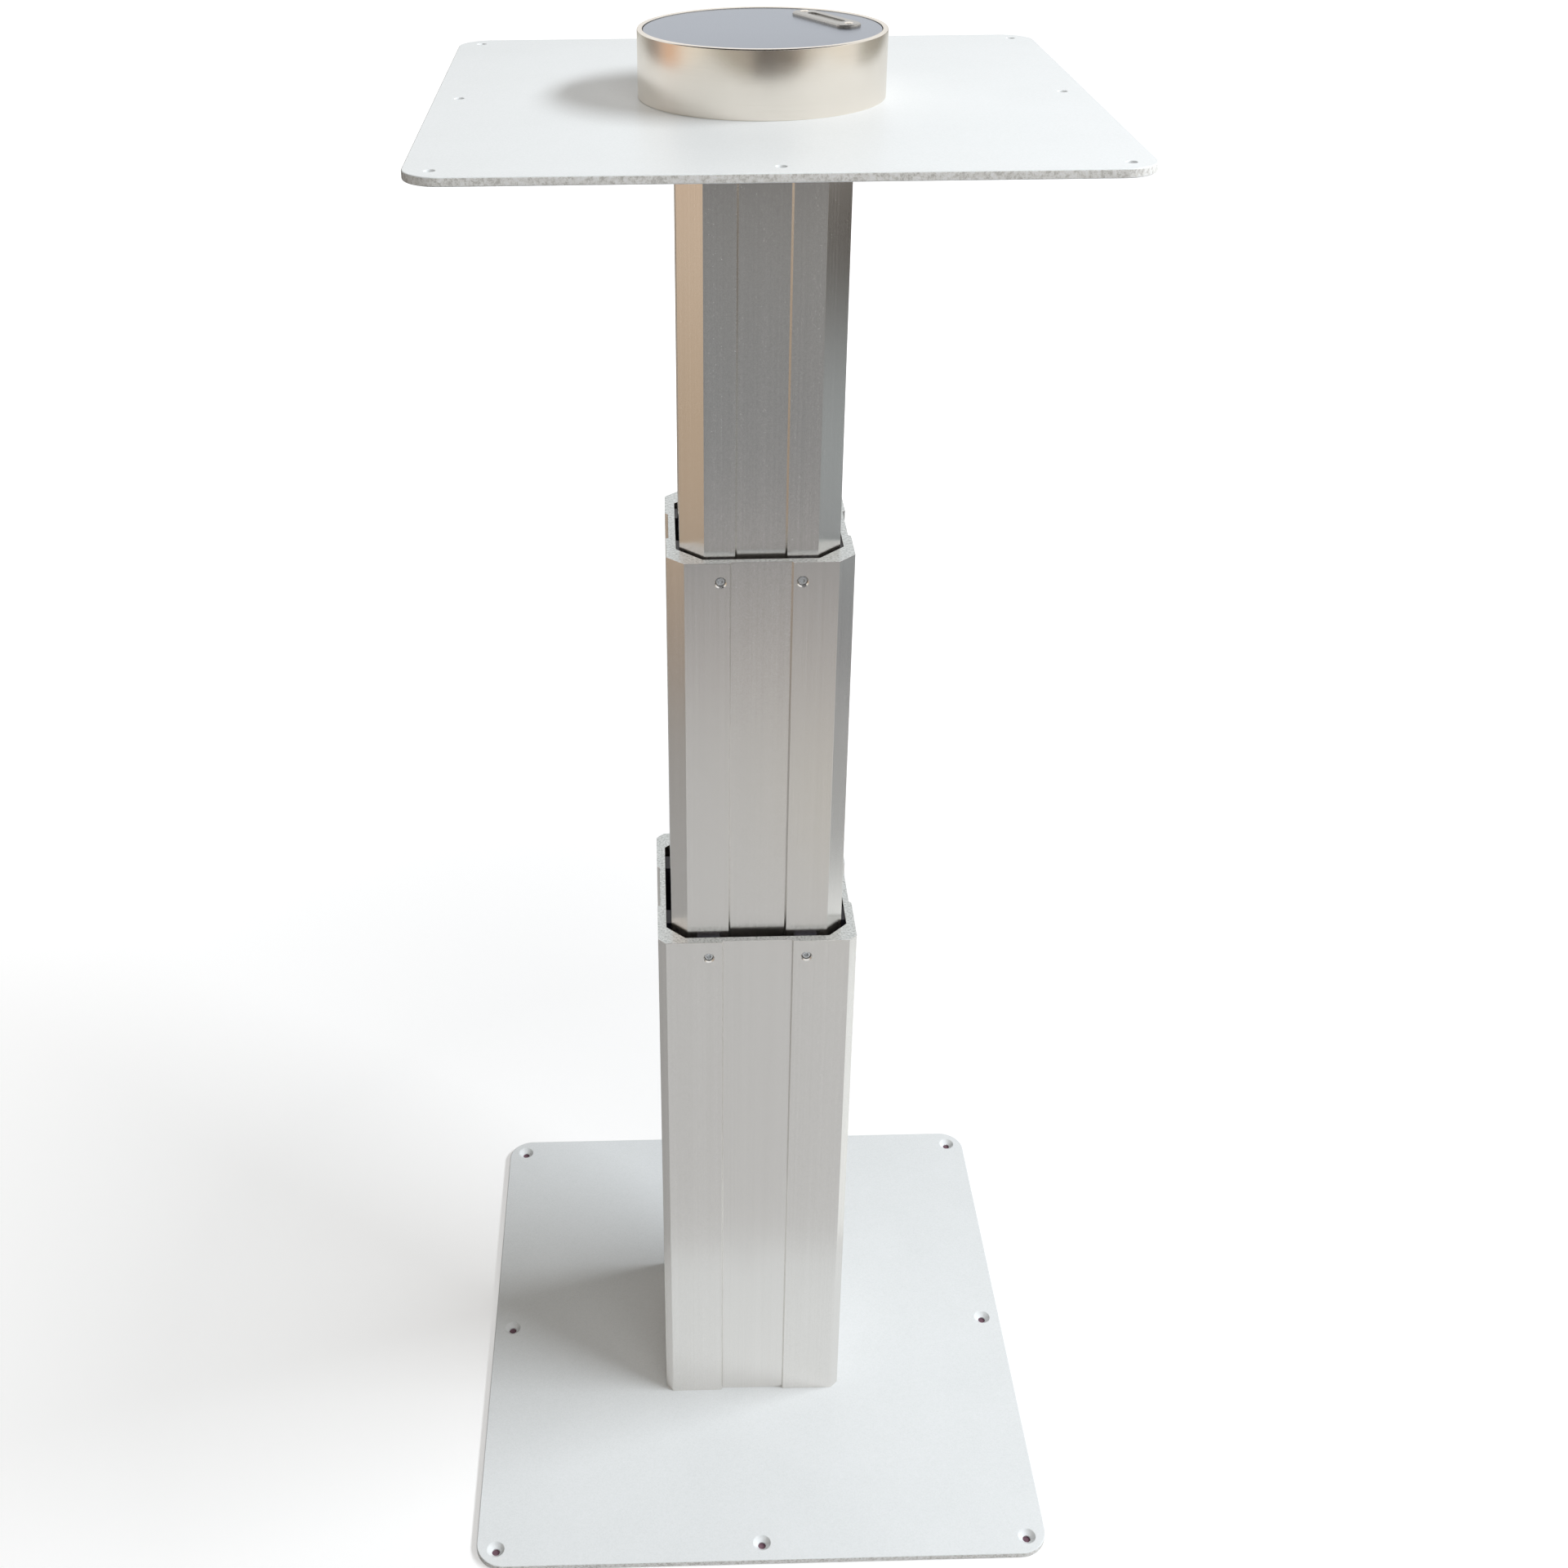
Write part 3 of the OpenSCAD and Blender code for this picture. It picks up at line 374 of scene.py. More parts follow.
def cut(piece, cutters):
    """Cuts the cutters' shapes out of a piece."""
    tool = joined("cutter", cutters)
    take(piece)
    saw = piece.modifiers.new("cut", "BOOLEAN")
    saw.operation, saw.solver, saw.object = "DIFFERENCE", "EXACT", tool
    bpy.ops.object.modifier_apply(modifier=saw.name)
    bpy.data.objects.remove(tool)
    return piece


def wear(piece, finish, body, slot, *nodes):
    """Gives a finished piece its finish if it has none yet, and its body, and hides the CAD nodes that it
    stands for. The slot is not used.
    """
    if not piece.data.materials:
        piece.data.materials.append(FINISHES[finish])
    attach(piece, body)
    if nodes:
        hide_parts(*nodes)
    return piece


# ---------------------------------------------------------------- plates

PLATE_CORNER = 17 * MM
COAT_EDGE = 0.6 * MM        # radius that the powder coat leaves on a plate's edges
HOLE_LIP = 0.3 * MM         # radius that it leaves on a hole's mouth
EDGE_BAND = 0.2 * MM        # a cut edge's faces have their centres this near the plate's outline
FIELDS = (17 * MM, 42 * MM, 100 * MM)   # lines that part a plate's faces into fields between its holes

# Screw holes: the bore and the mouth of the countersink
FIXING = (4.8 * MM, 10.6 * MM)
M6_SUNK = (6.5 * MM, 12 * MM)
M5_SUNK = (5.5 * MM, 10 * MM)
M4_SUNK = (4.5 * MM, 8 * MM)
M4_THREADED = (4 * MM, 4 * MM)
SHAFT_HOLE = (16 * MM, 16 * MM)
GROMMET_HOLE = (7 * MM, 7 * MM)
HEAD_PLAY = 0.1 * MM        # gap between a countersunk head and its countersink's mouth

HOLE_INSET = 12 * MM        # the fixing holes' centres lie this far in from a plate's sides
BASE_BOLTS_R = 16.5 * MM
MOTOR_SCREWS_R = 24 * MM
GROMMET_AT = (0, -33.5 * MM)

RING_WALL = 2.5 * MM
TAB_REACH = 12 * MM         # how far the ring's tabs reach in from its bore
ring_bore = ring_hi.x - RING_WALL
tab_screws_r = ring_bore - TAB_REACH / 2


def plate_blank(name, lo, hi):
    """A flame-cut plate: vertical corners rounded, then every edge eased as the coat eases it."""
    plate = add_start(bpy.ops.mesh.primitive_cube_add, name, size=1, location=(lo + hi) / 2, scale=hi - lo)
    pick(plate, "EDGE", lambda at, edge: upright(at))
    bpy.ops.mesh.bevel(offset=PLATE_CORNER, segments=16, affect="EDGES")
    bpy.ops.object.mode_set(mode="OBJECT")
    pick(plate, "EDGE", lambda at, edge: abs(at[0].z - at[1].z) < NEAR)
    bpy.ops.mesh.bevel(offset=COAT_EDGE, segments=4, affect="EDGES")
    for axis in ((1, 0, 0), (0, 1, 0)):
        for reach in FIELDS:
            for side in (-1, 1):
                bpy.ops.mesh.select_all(action="SELECT")
                bpy.ops.mesh.bisect(plane_co=[side * reach * a for a in axis], plane_no=axis)
    bpy.ops.object.mode_set(mode="OBJECT")
    return plate


def hole_plug(bore, mouth, start, end, lip=HOLE_LIP, steps=40):
    """One hole's shape, turned as a plug from its plain end to its countersunk mouth, with rounded lips.

    A lip's round is drawn by its two ends and one point between them, given in shares of its radius."""
    way = 1 if end > start else -1
    length = abs(end - start)
    r, m = bore / 2, mouth / 2
    rings = [(r + lip, -lip), (r + lip, 0), (r + 0.3 * lip, 0.4 * lip), (r, lip)]
    if m > r:
        rings += [(r, length - (m - r)), (m - 0.5 * lip, length - 0.5 * lip), (m, length - 0.15 * lip),
                  (m + lip, length), (m + lip, length + lip)]
    else:
        rings += [(r, length - lip), (r + 0.3 * lip, length - 0.4 * lip), (r + lip, length),
                  (r + lip, length + lip)]
    return turned("hole", [(ring, start + way * h) for ring, h in rings], steps)


def side_grid(hi):
    """The eight fixing holes' places: corners and middles of the sides."""
    a, b = hi.x - HOLE_INSET, hi.y - HOLE_INSET
    return [(x, y) for x in (-a, 0, a) for y in (-b, 0, b) if x or y]


def corner_grid(screws, sizes):
    """The places of four countersunk screws, from their node's box and the mouth of their holes."""
    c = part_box(screws)[1].x - (sizes[1] / 2 - HEAD_PLAY)
    return [(x, y) for x in (-c, c) for y in (-c, c)]


def round_grid(radius, start=0):
    """Four places on a circle."""
    angles = [math.radians(start + 90 * k) for k in range(4)]
    return [(radius * math.cos(a), radius * math.sin(a)) for a in angles]


def drill(plate, holes):
    """Drills a plate: rows of places, bore and mouth, plain end and mouth end."""
    plugs = []
    for places, sizes, start, end in holes:
        plugs += copied(hole_plug(*sizes, start, end), [Matrix.Translation((x, y, 0)) for x, y in places])
    return done(cut(plate, plugs), 35)


def coat_plate(plate):
    """Gives a plate its coat, and its cut edge the rougher look of the cut under the coat."""
    plate.data.materials.append(FINISHES["powder_coated_steel"])
    plate.data.materials.append(FINISHES["coated_cut_edge"])
    half = plate.dimensions / 2
    for face in plate.data.polygons:
        inside = min(half.x - abs(face.center.x), half.y - abs(face.center.y))
        corner = math.hypot(max(abs(face.center.x) - half.x + PLATE_CORNER, 0),
                            max(abs(face.center.y) - half.y + PLATE_CORNER, 0))
        on_edge = inside < EDGE_BAND or corner > PLATE_CORNER - 2 * EDGE_BAND
        if abs(face.normal.z) < 0.5 and on_edge:
            face.material_index = 1


floor_plate = plate_blank("floor_plate", base_lo, base_hi)
drill(floor_plate, [
    (side_grid(base_hi), FIXING, 0, base_hi.z),
    (corner_grid("column_screws", M6_SUNK), M6_SUNK, base_hi.z, 0),
    (round_grid(BASE_BOLTS_R, 45), M4_SUNK, base_hi.z, 0)])
coat_plate(floor_plate)
wear(floor_plate, "powder_coated_steel", "lower", "powder_coated_steel", "base_plate")

table_plate = plate_blank("table_plate", table_lo, table_hi)
drill(table_plate, [
    (side_grid(table_hi), FIXING, table_hi.z, table_lo.z),
    (corner_grid("top_plate_screws", M5_SUNK), M5_SUNK, table_lo.z, table_hi.z),
    (round_grid(MOTOR_SCREWS_R), M4_SUNK, table_lo.z, table_hi.z),
    (round_grid(tab_screws_r), M4_THREADED, table_lo.z, table_hi.z),
    ([(0, 0)], SHAFT_HOLE, table_lo.z, table_hi.z),
    ([GROMMET_AT], GROMMET_HOLE, table_lo.z, table_hi.z)])
coat_plate(table_plate)
wear(table_plate, "powder_coated_steel", "upper", "powder_coated_steel", "top_plate")


# ---------------------------------------------------------------- extrusions

SKIN = 1.6 * MM             # the face recesses' floors lie less than this under a tube's outer faces


def extrusion(name, node, body, ease=0.35 * MM):
    """A tube with the small radii that an extrusion die and a deburring tool leave. It starts from the
    CAD tube's own walls, so its pockets and holes stay where they are."""
    tube = bpy.data.objects.new(name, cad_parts[node].data.copy())
    bpy.context.scene.collection.objects.link(tube)
    tube.data.materials.clear()
    take(tube)
    bpy.ops.mesh.customdata_custom_splitnormals_clear()
    bpy.ops.object.mode_set(mode="EDIT")
    bpy.ops.mesh.select_all(action="SELECT")
    bpy.ops.mesh.remove_doubles(threshold=MERGE)
    bpy.ops.mesh.dissolve_limited(angle_limit=math.radians(1))
    bpy.ops.mesh.select_mode(type="EDGE")
    bpy.ops.mesh.select_all(action="DESELECT")
    bpy.ops.mesh.edges_select_sharp(sharpness=math.radians(20))
    bpy.ops.object.mode_set(mode="OBJECT")
    sharp = [e.select for e in tube.data.edges]
    lo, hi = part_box(node)

    def outer(at, edge):
        """True for the sharp edges of the sawn ends, and for the long ones on the outer skin."""
        reach = [max(abs(p.x), abs(p.y)) for p in at]
        on_end = any(all(abs(p.z - z) < SAME for p in at) for z in (lo.z, hi.z))
        long_way = abs(at[0].z - at[1].z) > 0.9 * (hi.z - lo.z)
        on_skin = min(reach) > hi.x - SKIN
        return sharp[edge.index] and (on_end or (long_way and on_skin))

    pick(tube, "EDGE", outer)
    bpy.ops.mesh.bevel(offset=ease, segments=3, affect="EDGES", clamp_overlap=True)
    bpy.ops.object.mode_set(mode="OBJECT")
    done(tube, 25)
    tube.data.materials.append(FINISHES["anodised_aluminium"])
    tube.data.materials.append(FINISHES["sawn_aluminium"])
    for face in tube.data.polygons:
        if face.normal.z > 0.9 and face.center.z > hi.z - 0.5 * MM:
            face.material_index = 1
    wear(tube, "anodised_aluminium", body, "anodised_aluminium", node)


extrusion("lower_extrusion", "lower_tube", "lower")
extrusion("middle_extrusion", "middle_tube", "middle")
extrusion("upper_extrusion", "upper_tube", "upper", 0.2 * MM)


# ---------------------------------------------------------------- service ring, lid and pull

RIM_W, RIM_H = 0.9 * MM, 0.72 * MM  # how far the ring's rolled rim reaches in and down
LEDGE_W, LEDGE_T = 4 * MM, 2 * MM
TAB_W, TAB_T, TAB_CORNER = 16 * MM, 2 * MM, 3 * MM
TAB_ROOT = 1.2 * MM         # how far a tab runs into the ring's wall

PULL_OUT = 36 * MM          # the pull's middle lies this far from the lid's
PULL_TURN, PULL_ANGLE = math.radians(29), math.radians(-63)
PULL_AT = Matrix.Rotation(PULL_TURN, 4, "Z") @ Matrix.Translation((PULL_OUT, 0, lid_hi.z)) @ \
    Matrix.Rotation(PULL_ANGLE - PULL_TURN, 4, "Z")
PULL_L, PULL_W, PULL_H = 50 * MM, 13 * MM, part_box("lid_pull")[1].z - lid_hi.z
SLOT_L, SLOT_W = 30 * MM, 4.2 * MM
RIVET_X, RIVET_D = 20 * MM, 3.4 * MM
RIVET_PLAY = 0.05 * MM      # gap round a rivet's shank
HEAD_OVER, HEAD_DOME = 0.45 * MM, 0.5 * MM  # how far a rivet's head reaches out over its hole, and up


def service_ring():
    """The ring turned from tube, with a rolled rim and a ledge for the lid, and four screwed tabs.

    Its bore has no wall from the foot up to the ledge's underside, so its mesh is open there."""
    foot, top = ring_lo.z, ring_hi.z
    ring_r, ledge_r = ring_hi.x, ring_bore - LEDGE_W
    ease = 0.2 * MM
    rim_ease = 0.3 * MM
    rounding = [(ring_r - RIM_W * (1 - math.cos(a)), top - RIM_H * (1 - math.sin(a)))
                for a in (math.radians(10 * k) for k in range(10))]
    outside = [(ring_bore, foot), (ring_r - ease, foot), (ring_r, foot + ease)]
    inside = [(ring_bore + rim_ease, top), (ring_bore, top - rim_ease), (ring_bore, lid_lo.z)]
    ledge = [(ledge_r + ease, lid_lo.z), (ledge_r, lid_lo.z - ease), (ledge_r, lid_lo.z - LEDGE_T),
             (ring_bore, lid_lo.z - 2 * LEDGE_T)]
    wall = turned("collar_ring", outside + rounding + inside + ledge, 144, hollow=True)
    tab = add_start(bpy.ops.mesh.primitive_cube_add, "tab", size=1,
                    location=(ring_bore - (TAB_REACH - TAB_ROOT) / 2, 0, foot + TAB_T / 2),
                    scale=(TAB_REACH + TAB_ROOT, TAB_W, TAB_T))
    pick(tab, "EDGE", lambda at, edge: upright(at) and at[0].x < tab_screws_r)
    bpy.ops.mesh.bevel(offset=TAB_CORNER, segments=6, affect="EDGES")
    bpy.ops.object.mode_set(mode="OBJECT")
    plug = hole_plug(M4_SUNK[0], M4_SUNK[0], foot, foot + TAB_T, 0.2 * MM)
    plug.data.transform(Matrix.Translation((tab_screws_r, 0, 0)))
    cut(tab, [plug])
    tabs = copied(tab, [Matrix.Rotation(k * math.pi / 2, 4, "Z") for k in range(4)])
    return done(joined("collar_ring", [wall] + tabs), 30)


def ring_lid():
    """The lid, cut from sheet and bead blasted, with its edge eased and two rivet holes."""
    lid_r, ease = lid_hi.x, 0.35 * MM
    lid = turned("ring_lid", [(lid_r - ease, lid_lo.z), (lid_r, lid_lo.z + ease), (lid_r, lid_hi.z - ease),
                              (lid_r - 0.3 * ease, lid_hi.z - 0.3 * ease), (lid_r - ease, lid_hi.z)], 144)
    plug = hole_plug(RIVET_D, RIVET_D, lid_lo.z, lid_hi.z, 0.1 * MM, 24)
    plugs = copied(plug, [PULL_AT @ Matrix.Translation((x, 0, -lid_hi.z)) for x in (-RIVET_X, RIVET_X)])
    return done(cut(lid, plugs), 30)


def stadium(name, length, width, foot, top, steps=14):
    """A bar with fully rounded ends."""
    bar = add_start(bpy.ops.mesh.primitive_cube_add, name, size=1, location=(0, 0, (foot + top) / 2),
                    scale=(length, width, top - foot))
    pick(bar, "EDGE", lambda at, edge: abs(at[0].z - at[1].z) > (top - foot) / 2)
    bpy.ops.mesh.bevel(offset=width / 2, segments=steps, affect="EDGES")
    bpy.ops.mesh.select_all(action="SELECT")
    bpy.ops.mesh.remove_doubles(threshold=0.01 * MM)
    bpy.ops.object.mode_set(mode="OBJECT")
    return bar


def lid_pull():
    """The pull pressed from sheet: rounded ends, a soft upper edge and a finger slot between its rivets."""
    pull = stadium("pull_plate", PULL_L, PULL_W, 0, PULL_H)
    pick(pull, "EDGE", lambda at, edge: all(p.z > PULL_H - NEAR for p in at))
    bpy.ops.mesh.bevel(offset=0.55 * PULL_H, segments=5, affect="EDGES")
    bpy.ops.object.mode_set(mode="OBJECT")
    slot = stadium("slot", SLOT_L, SLOT_W, 0.4 * PULL_H, 2 * PULL_H, 8)
    pick(slot, "FACE", lambda at, face: face.normal.z < -0.9)
    bpy.ops.mesh.bevel(offset=0.3 * MM, segments=3, affect="EDGES")
    bpy.ops.object.mode_set(mode="OBJECT")
    holes = copied(hole_plug(RIVET_D, RIVET_D, 0, PULL_H, 0.1 * MM, 24),
                   [Matrix.Translation((x, 0, 0)) for x in (-RIVET_X, RIVET_X)])
    cut(pull, [slot] + holes)
    pull.data.transform(PULL_AT)
    return done(pull, 35)


def pull_rivets():
    """Two rivets with domed heads."""
    shank, head = RIVET_D / 2 - RIVET_PLAY, RIVET_D / 2 + HEAD_OVER
    z = lid_hi.z - lid_lo.z + PULL_H
    dome = [(head * math.cos(a), z + HEAD_DOME * math.sin(a))
            for a in (math.radians(15 * k) for k in range(6))]
    rivet = turned("pull_rivets", [(shank, 0), (shank, z)] + dome, 32)
    rivets = copied(rivet, [PULL_AT @ Matrix.Translation((x, 0, lid_lo.z - lid_hi.z))
                            for x in (-RIVET_X, RIVET_X)])
    return done(joined("pull_rivets", rivets), 40)


wear(service_ring(), "polished_stainless", "upper", "polished_stainless", "service_ring")
wear(ring_lid(), "satin_stainless", "lid", "satin_stainless", "lid")
wear(lid_pull(), "satin_pull", "lid", "polished_stainless", "lid_pull")
wear(pull_rivets(), "polished_stainless", "lid", "polished_stainless", "lid_pull_rivets")


# ---------------------------------------------------------------- adjusting screws

SCREW_SUNK = 0.9 * MM       # how far the screws sit below the tube's face
SCREW_R = 2.45 * MM
POINT_CHAMFER = 0.4 * MM
END_ROUND = 0.5 * MM        # how far the rounding of a screw's outer end reaches down
SOCKET_R, SOCKET_DEPTH = 1.45 * MM, 1.5 * MM    # over the hexagon's corners
SOCKET_TURN = math.radians(20)


def pad_screws(name, node, body):
    """The guide pads' adjusting screws: chamfered, with a hexagon socket, two on each face."""
    lo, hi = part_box(node)
    points = [v.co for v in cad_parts[node].data.vertices]
    heads = [p.x for p in points if p.y < lo.y + NEAR and p.x > 0]
    x, z = (max(heads) + min(heads)) / 2, (lo.z + hi.z) / 2
    inner = min(-p.y for p in points if p.y < 0 and abs(abs(p.x) - x) < SCREW_R + 0.5 * MM)
    r, length = SCREW_R, -lo.y - inner - SCREW_SUNK
    screw = turned("screw", [(r - POINT_CHAMFER, 0), (r, POINT_CHAMFER), (r, length - END_ROUND),
                             (r - 0.3 * END_ROUND, length - 0.3 * END_ROUND),
                             (r - 0.9 * END_ROUND, length)], 40)
    socket = add_start(bpy.ops.mesh.primitive_cylinder_add, "socket", vertices=6, radius=SOCKET_R,
                       depth=2 * SOCKET_DEPTH, location=(0, 0, length), rotation=(0, 0, SOCKET_TURN))
    cut(screw, [socket])
    lay = Matrix.Rotation(math.pi / 2, 4, "X")
    spots = [Matrix.Rotation(k * math.pi / 2, 4, "Z") @ Matrix.Translation((side * x, -inner, z)) @ lay
             for k in range(4) for side in (-1, 1)]
    wear(done(joined(name, copied(screw, spots)), 30), "zinc_plated_steel", body, "zinc_plated_steel", node)


pad_screws("lower_grub_screws", "lower_pad_screws", "lower")
pad_screws("middle_grub_screws", "middle_pad_screws", "middle")


# ---------------------------------------------------------------- floor and cards

FLOOR_Z, SHADOW_SHEET_Z = -0.2 * MM, -0.1 * MM
SHADOW_SHEET_INSET = 5.5 * MM       # the painted shadow sheet under the floor plate ends this far inside its sides
WHITE_NEAR, WHITE_FAR = 0.4, 1.8    # metres from the column between which the floor fades to pure white
FACE_UP, FACE_DOWN = (0, 0, 1), (0, 0, -1)
MAT_Z = 1 * MM

# Cards that are seen in reflections only: name, size, centre, facing, colour and strength
CARDS = (
    ("bright_strip", (0.22, 0.34), (0.86, 0.42, 0.17), (-0.9, -0.44, 0), "ffffff", 1.1),
    ("mat_right", (0.43, 0.23), (0.405, 0.035, MAT_Z), FACE_UP, "fbffff", 1.0),
    ("mat_right_end", (0.42, 0.23), (0.83, 0.035, MAT_Z), FACE_UP, "9a9c9c", 1.0),
    ("mat_far_right", (0.70, 0.38), (0.55, 0.34, MAT_Z), FACE_UP, "ffffff", 1.1),
    ("dark_ceiling", (0.62, 0.36), (-0.19, -0.20, 0.94), FACE_DOWN, "3c3a3c", 1.0),
    ("mat_front", (0.20, 0.30), (0.175, -0.80, MAT_Z), FACE_UP, "cdc9c0", 1.0))


def hide_from_all_but_mirrors(sheet):
    """Leaves a stage piece to be seen in reflections only. It throws no light and no shadow."""
    sheet.visible_camera = sheet.visible_diffuse = sheet.visible_shadow = False


def stage_sheet(name, size, centre, facing, finish):
    """A flat stage sheet, centred and facing as told."""
    bpy.ops.object.select_all(action="DESELECT")
    bpy.ops.mesh.primitive_plane_add(size=1)
    sheet = bpy.context.active_object
    sheet.name = name
    turn = Vector(facing).to_track_quat("Z", "Y").to_matrix().to_4x4()
    sheet.data.transform(Matrix.Translation(centre) @ turn @ Matrix.Diagonal((*size, 1, 1)))
    sheet.data.materials.append(finish)
    return sheet


def card_finish(name, code, strength):
    """An even glow for a card."""
    finish = new_finish(name)
    glow = add(finish, "ShaderNodeEmission", {"Color": tone(code), "Strength": strength})
    add(finish, "ShaderNodeOutputMaterial", links={"Surface": glow.outputs[0]})
    return finish


def floor_finish():
    """A pale matt floor. It shows as white where no shadow falls, and keeps the shadows."""
    finish = new_finish("pale_floor")
    place = add(finish, "ShaderNodeTexCoord").outputs["Object"]
    paint = add(finish, "ShaderNodeBsdfDiffuse", {"Color": tone("d4d4d4")})
    path = add(finish, "ShaderNodeLightPath")
    seen = add(finish, "ShaderNodeMath", {"operation": "MAXIMUM"},
               {0: path.outputs["Is Camera Ray"], 1: path.outputs["Is Transmission Ray"]})
    away = add(finish, "ShaderNodeVectorMath", {"operation": "LENGTH"}, {0: place})
    rise = add(finish, "ShaderNodeMapRange",
               {"From Min": WHITE_NEAR, "From Max": WHITE_FAR, "To Min": 0.45, "To Max": 1.0},
               {"Value": away.outputs["Value"]})
    lift = add(finish, "ShaderNodeMath", {"operation": "MULTIPLY"}, {0: seen.outputs[0], 1: rise.outputs[0]})
    glow = add(finish, "ShaderNodeEmission", {"Color": tone("ffffff")}, {"Strength": lift.outputs[0]})
    both = add(finish, "ShaderNodeAddShader", links={0: paint.outputs[0], 1: glow.outputs[0]})
    add(finish, "ShaderNodeOutputMaterial", links={"Surface": both.outputs[0]})
    return finish


stage_sheet("floor", (30, 30), (0, 0, FLOOR_Z), FACE_UP, floor_finish())
# A dark sheet just under the floor plate: painted shadow, seen in the thin gap under the plate's edge and
# down its through holes
stage_sheet("painted_shadow_under_plate", (2 * (base_hi.x - SHADOW_SHEET_INSET), 2 * (base_hi.y - SHADOW_SHEET_INSET)), (0, 0, SHADOW_SHEET_Z),
            FACE_UP, grained("painted_shadow_gap", "6b505c", "7a5f69", (0.8, 0.9), 2 * MM, 0.01 * MM, PAINTED_SHADOW))
for name, size, centre, facing, code, strength in CARDS:
    hide_from_all_but_mirrors(stage_sheet(name, size, centre, facing, card_finish(name, code, strength)))


# ---------------------------------------------------------------- the walls that the metal mirrors

WALL_R, WALL_H = 1.0, 0.95

# Bands of tone at four heights. Each is a place round the wall and a colour. A place is a share of the
# circle: 0.5 is in front of the column, 0.25 to its left and 0.75 to its right.
FOOT_BANDS = [
    (0.0, "bbbab7"), (0.14, "a39f9a"), (0.18, "807b76"), (0.24, "a29589"), (0.28, "a29589"),
    (0.34, "aca7a1"), (0.5, "b8b3b1"), (0.66, "b1afad"), (0.74, "7f8082"), (0.79, "7f8082"),
    (0.815, "ffffff"), (0.88, "f0f0ee"), (1.0, "bbbab7")]
LOW_BANDS = [
    (0.0, "90908e"), (0.14, "86817a"), (0.18, "5f5a55"), (0.225, "6b655e"), (0.24, "c4af97"),
    (0.295, "c4af97"), (0.37, "848688"), (0.46, "7c8386"), (0.52, "8d8f91"), (0.6, "9c9b98"),
    (0.7, "9aa0a2"), (0.79, "9ea5a7"), (0.815, "ffffff"), (0.87, "ffffff"), (0.9, "a0a09e"),
    (1.0, "90908e")]
WAIST_BANDS = [
    (0.0, "74736f"), (0.14, "6a655f"), (0.18, "4a4540"), (0.225, "5c564f"), (0.24, "d8c3ac"),
    (0.295, "d8c3ac"), (0.36, "8a847b"), (0.46, "83868a"), (0.51, "949594"), (0.6, "a8a49f"),
    (0.68, "6b635b"), (0.73, "443c35"), (0.8, "443c35"), (0.86, "75726d"), (1.0, "74736f")]
HEAD_BANDS = [
    (0.0, "c4c4c0"), (0.13, "b3b5ae"), (0.15, "8e8a86"), (0.203, "7f7a75"), (0.209, "ffffff"),
    (0.214, "dfb291"), (0.272, "dfb291"), (0.280, "f6f2e8"), (0.345, "e9e4d8"), (0.37, "b0ab9f"),
    (0.455, "a39d92"), (0.464, "e6e1d6"), (0.470, "3a3333"), (0.522, "3c3534"), (0.535, "867e73"),
    (0.55, "4a423e"), (0.578, "7d756c"), (0.592, "bcb4a8"), (0.625, "d9d3c8"), (0.66, "efeae0"),
    (0.72, "efeae0"), (0.732, "ffffff"), (0.746, "ffffff"), (0.757, "aaa89f"), (0.84, "9b9991"),
    (0.88, "a3a29d"), (1.0, "c4c4c0")]

# The heights in metres between which each set of bands takes over from the one below it
TAKE_OVERS = ((0.05, 0.26, LOW_BANDS), (0.34, 0.50, WAIST_BANDS), (0.60, 0.645, HEAD_BANDS))

# A colour mix takes its colours at these sockets and gives its result at this output
MIX_FACTOR, MIX_A, MIX_B, MIX_RESULT = 0, 6, 7, 2


def wall_finish():
    """The studio's walls as the metal mirrors them: bands of tone by direction and height."""
    finish = new_finish("room_wall")
    place = add(finish, "ShaderNodeTexCoord").outputs["Object"]
    turn = add(finish, "ShaderNodeMapping", {"Rotation": (0, 0, math.pi / 2)}, {"Vector": place})
    around = add(finish, "ShaderNodeTexGradient", {"gradient_type": "RADIAL"}, {"Vector": turn.outputs[0]})
    height = add(finish, "ShaderNodeSeparateXYZ", links={"Vector": place}).outputs["Z"]
    way = {"Fac": around.outputs["Fac"]}
    wall = add(finish, "ShaderNodeValToRGB", {"stops": FOOT_BANDS}, way).outputs["Color"]
    for start, end, bands in TAKE_OVERS:
        rise = add(finish, "ShaderNodeMapRange",
                   {"interpolation_type": "SMOOTHSTEP", "From Min": start, "From Max": end},
                   {"Value": height})
        above = add(finish, "ShaderNodeValToRGB", {"stops": bands}, way)
        wall = add(finish, "ShaderNodeMix", {"data_type": "RGBA"}, {
            MIX_FACTOR: rise.outputs[0], MIX_A: wall, MIX_B: above.outputs["Color"]}).outputs[MIX_RESULT]
    glow = add(finish, "ShaderNodeEmission", links={"Color": wall})
    add(finish, "ShaderNodeOutputMaterial", links={"Surface": glow.outputs[0]})
    return finish


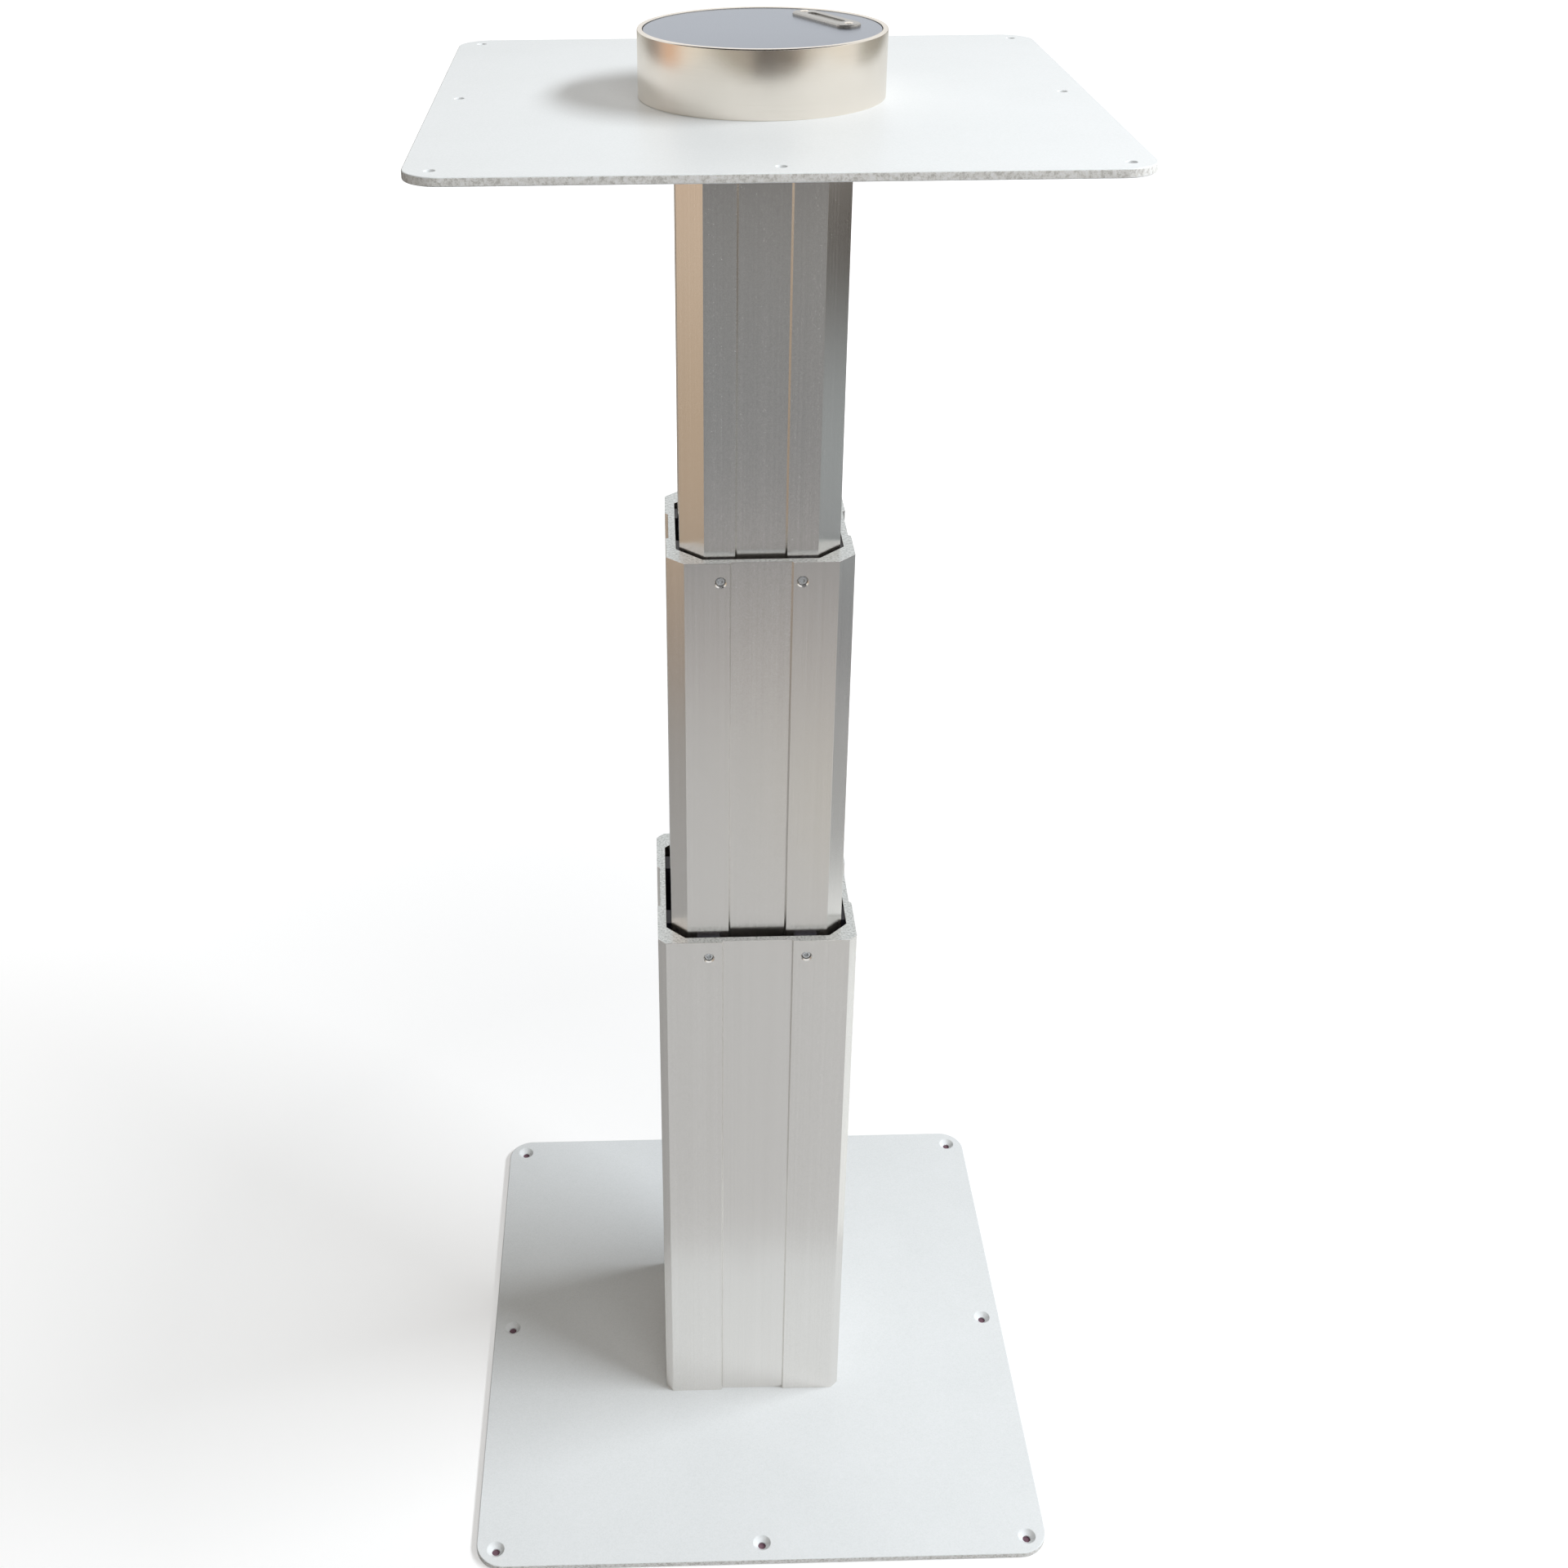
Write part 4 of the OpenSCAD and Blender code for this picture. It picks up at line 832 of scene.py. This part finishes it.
room_wall = add_start(bpy.ops.mesh.primitive_cylinder_add, "room_wall", vertices=96, radius=WALL_R,
                      depth=WALL_H, location=(0, 0, WALL_H / 2), end_fill_type="NOTHING")
bpy.ops.object.mode_set(mode="EDIT")
bpy.ops.mesh.select_all(action="SELECT")
bpy.ops.mesh.flip_normals()
bpy.ops.object.mode_set(mode="OBJECT")
room_wall.data.materials.append(wall_finish())
hide_from_all_but_mirrors(room_wall)


# ---------------------------------------------------------------- lights and world

LIGHTS_AIM = (0, 0, 0.4)

# Soft area lights: name, place, width and height in metres, watts and colour
LIGHTS = (
    ("window", (2.8, -0.45, 2.9), (2.9, 0.6), 157, "f7fbff"),
    ("ceiling", (0.3, -1.2, 2.2), (1.0, 1.0), 8.5, "fffdf8"))
ROOM_LIGHT = 0.20           # what the world gives the object, where 1 is white


def soft_light(name, place, size, power, code):
    """A soft area light at a place, aimed at the column's middle. Neither camera nor mirrors see it."""
    data = bpy.data.lights.new(name, "AREA")
    data.shape = "RECTANGLE"
    data.size, data.size_y = size
    data.energy = power
    data.color = tone(code)[:3]
    light = bpy.data.objects.new(name, data)
    light.location = place
    light.rotation_mode = "QUATERNION"
    light.rotation_quaternion = (Vector(LIGHTS_AIM) - Vector(place)).to_track_quat("-Z", "Y")
    light.visible_camera = light.visible_glossy = False
    bpy.context.scene.collection.objects.link(light)


def studio_world():
    """A dim warm room to light the object, and plain white for the camera, mirrors and glass."""
    world = bpy.data.worlds.new("studio")
    world.use_nodes = True
    world.node_tree.nodes.clear()
    path = add(world, "ShaderNodeLightPath")
    seen = add(world, "ShaderNodeMath", {"operation": "MAXIMUM"},
               {0: path.outputs["Is Camera Ray"], 1: path.outputs["Is Glossy Ray"]})
    seen = add(world, "ShaderNodeMath", {"operation": "MAXIMUM"},
               {0: seen.outputs[0], 1: path.outputs["Is Transmission Ray"]})
    dim = add(world, "ShaderNodeBackground", {"Color": tone("e8e3da"), "Strength": ROOM_LIGHT})
    white = add(world, "ShaderNodeBackground", {"Color": tone("ffffff"), "Strength": 1.0})
    mix = add(world, "ShaderNodeMixShader",
              links={0: seen.outputs[0], 1: dim.outputs[0], 2: white.outputs[0]})
    add(world, "ShaderNodeOutputWorld", links={"Surface": mix.outputs[0]})
    return world


for light in LIGHTS:
    soft_light(*light)
bpy.context.scene.world = studio_world()
bpy.context.scene.view_settings.view_transform = "Standard"
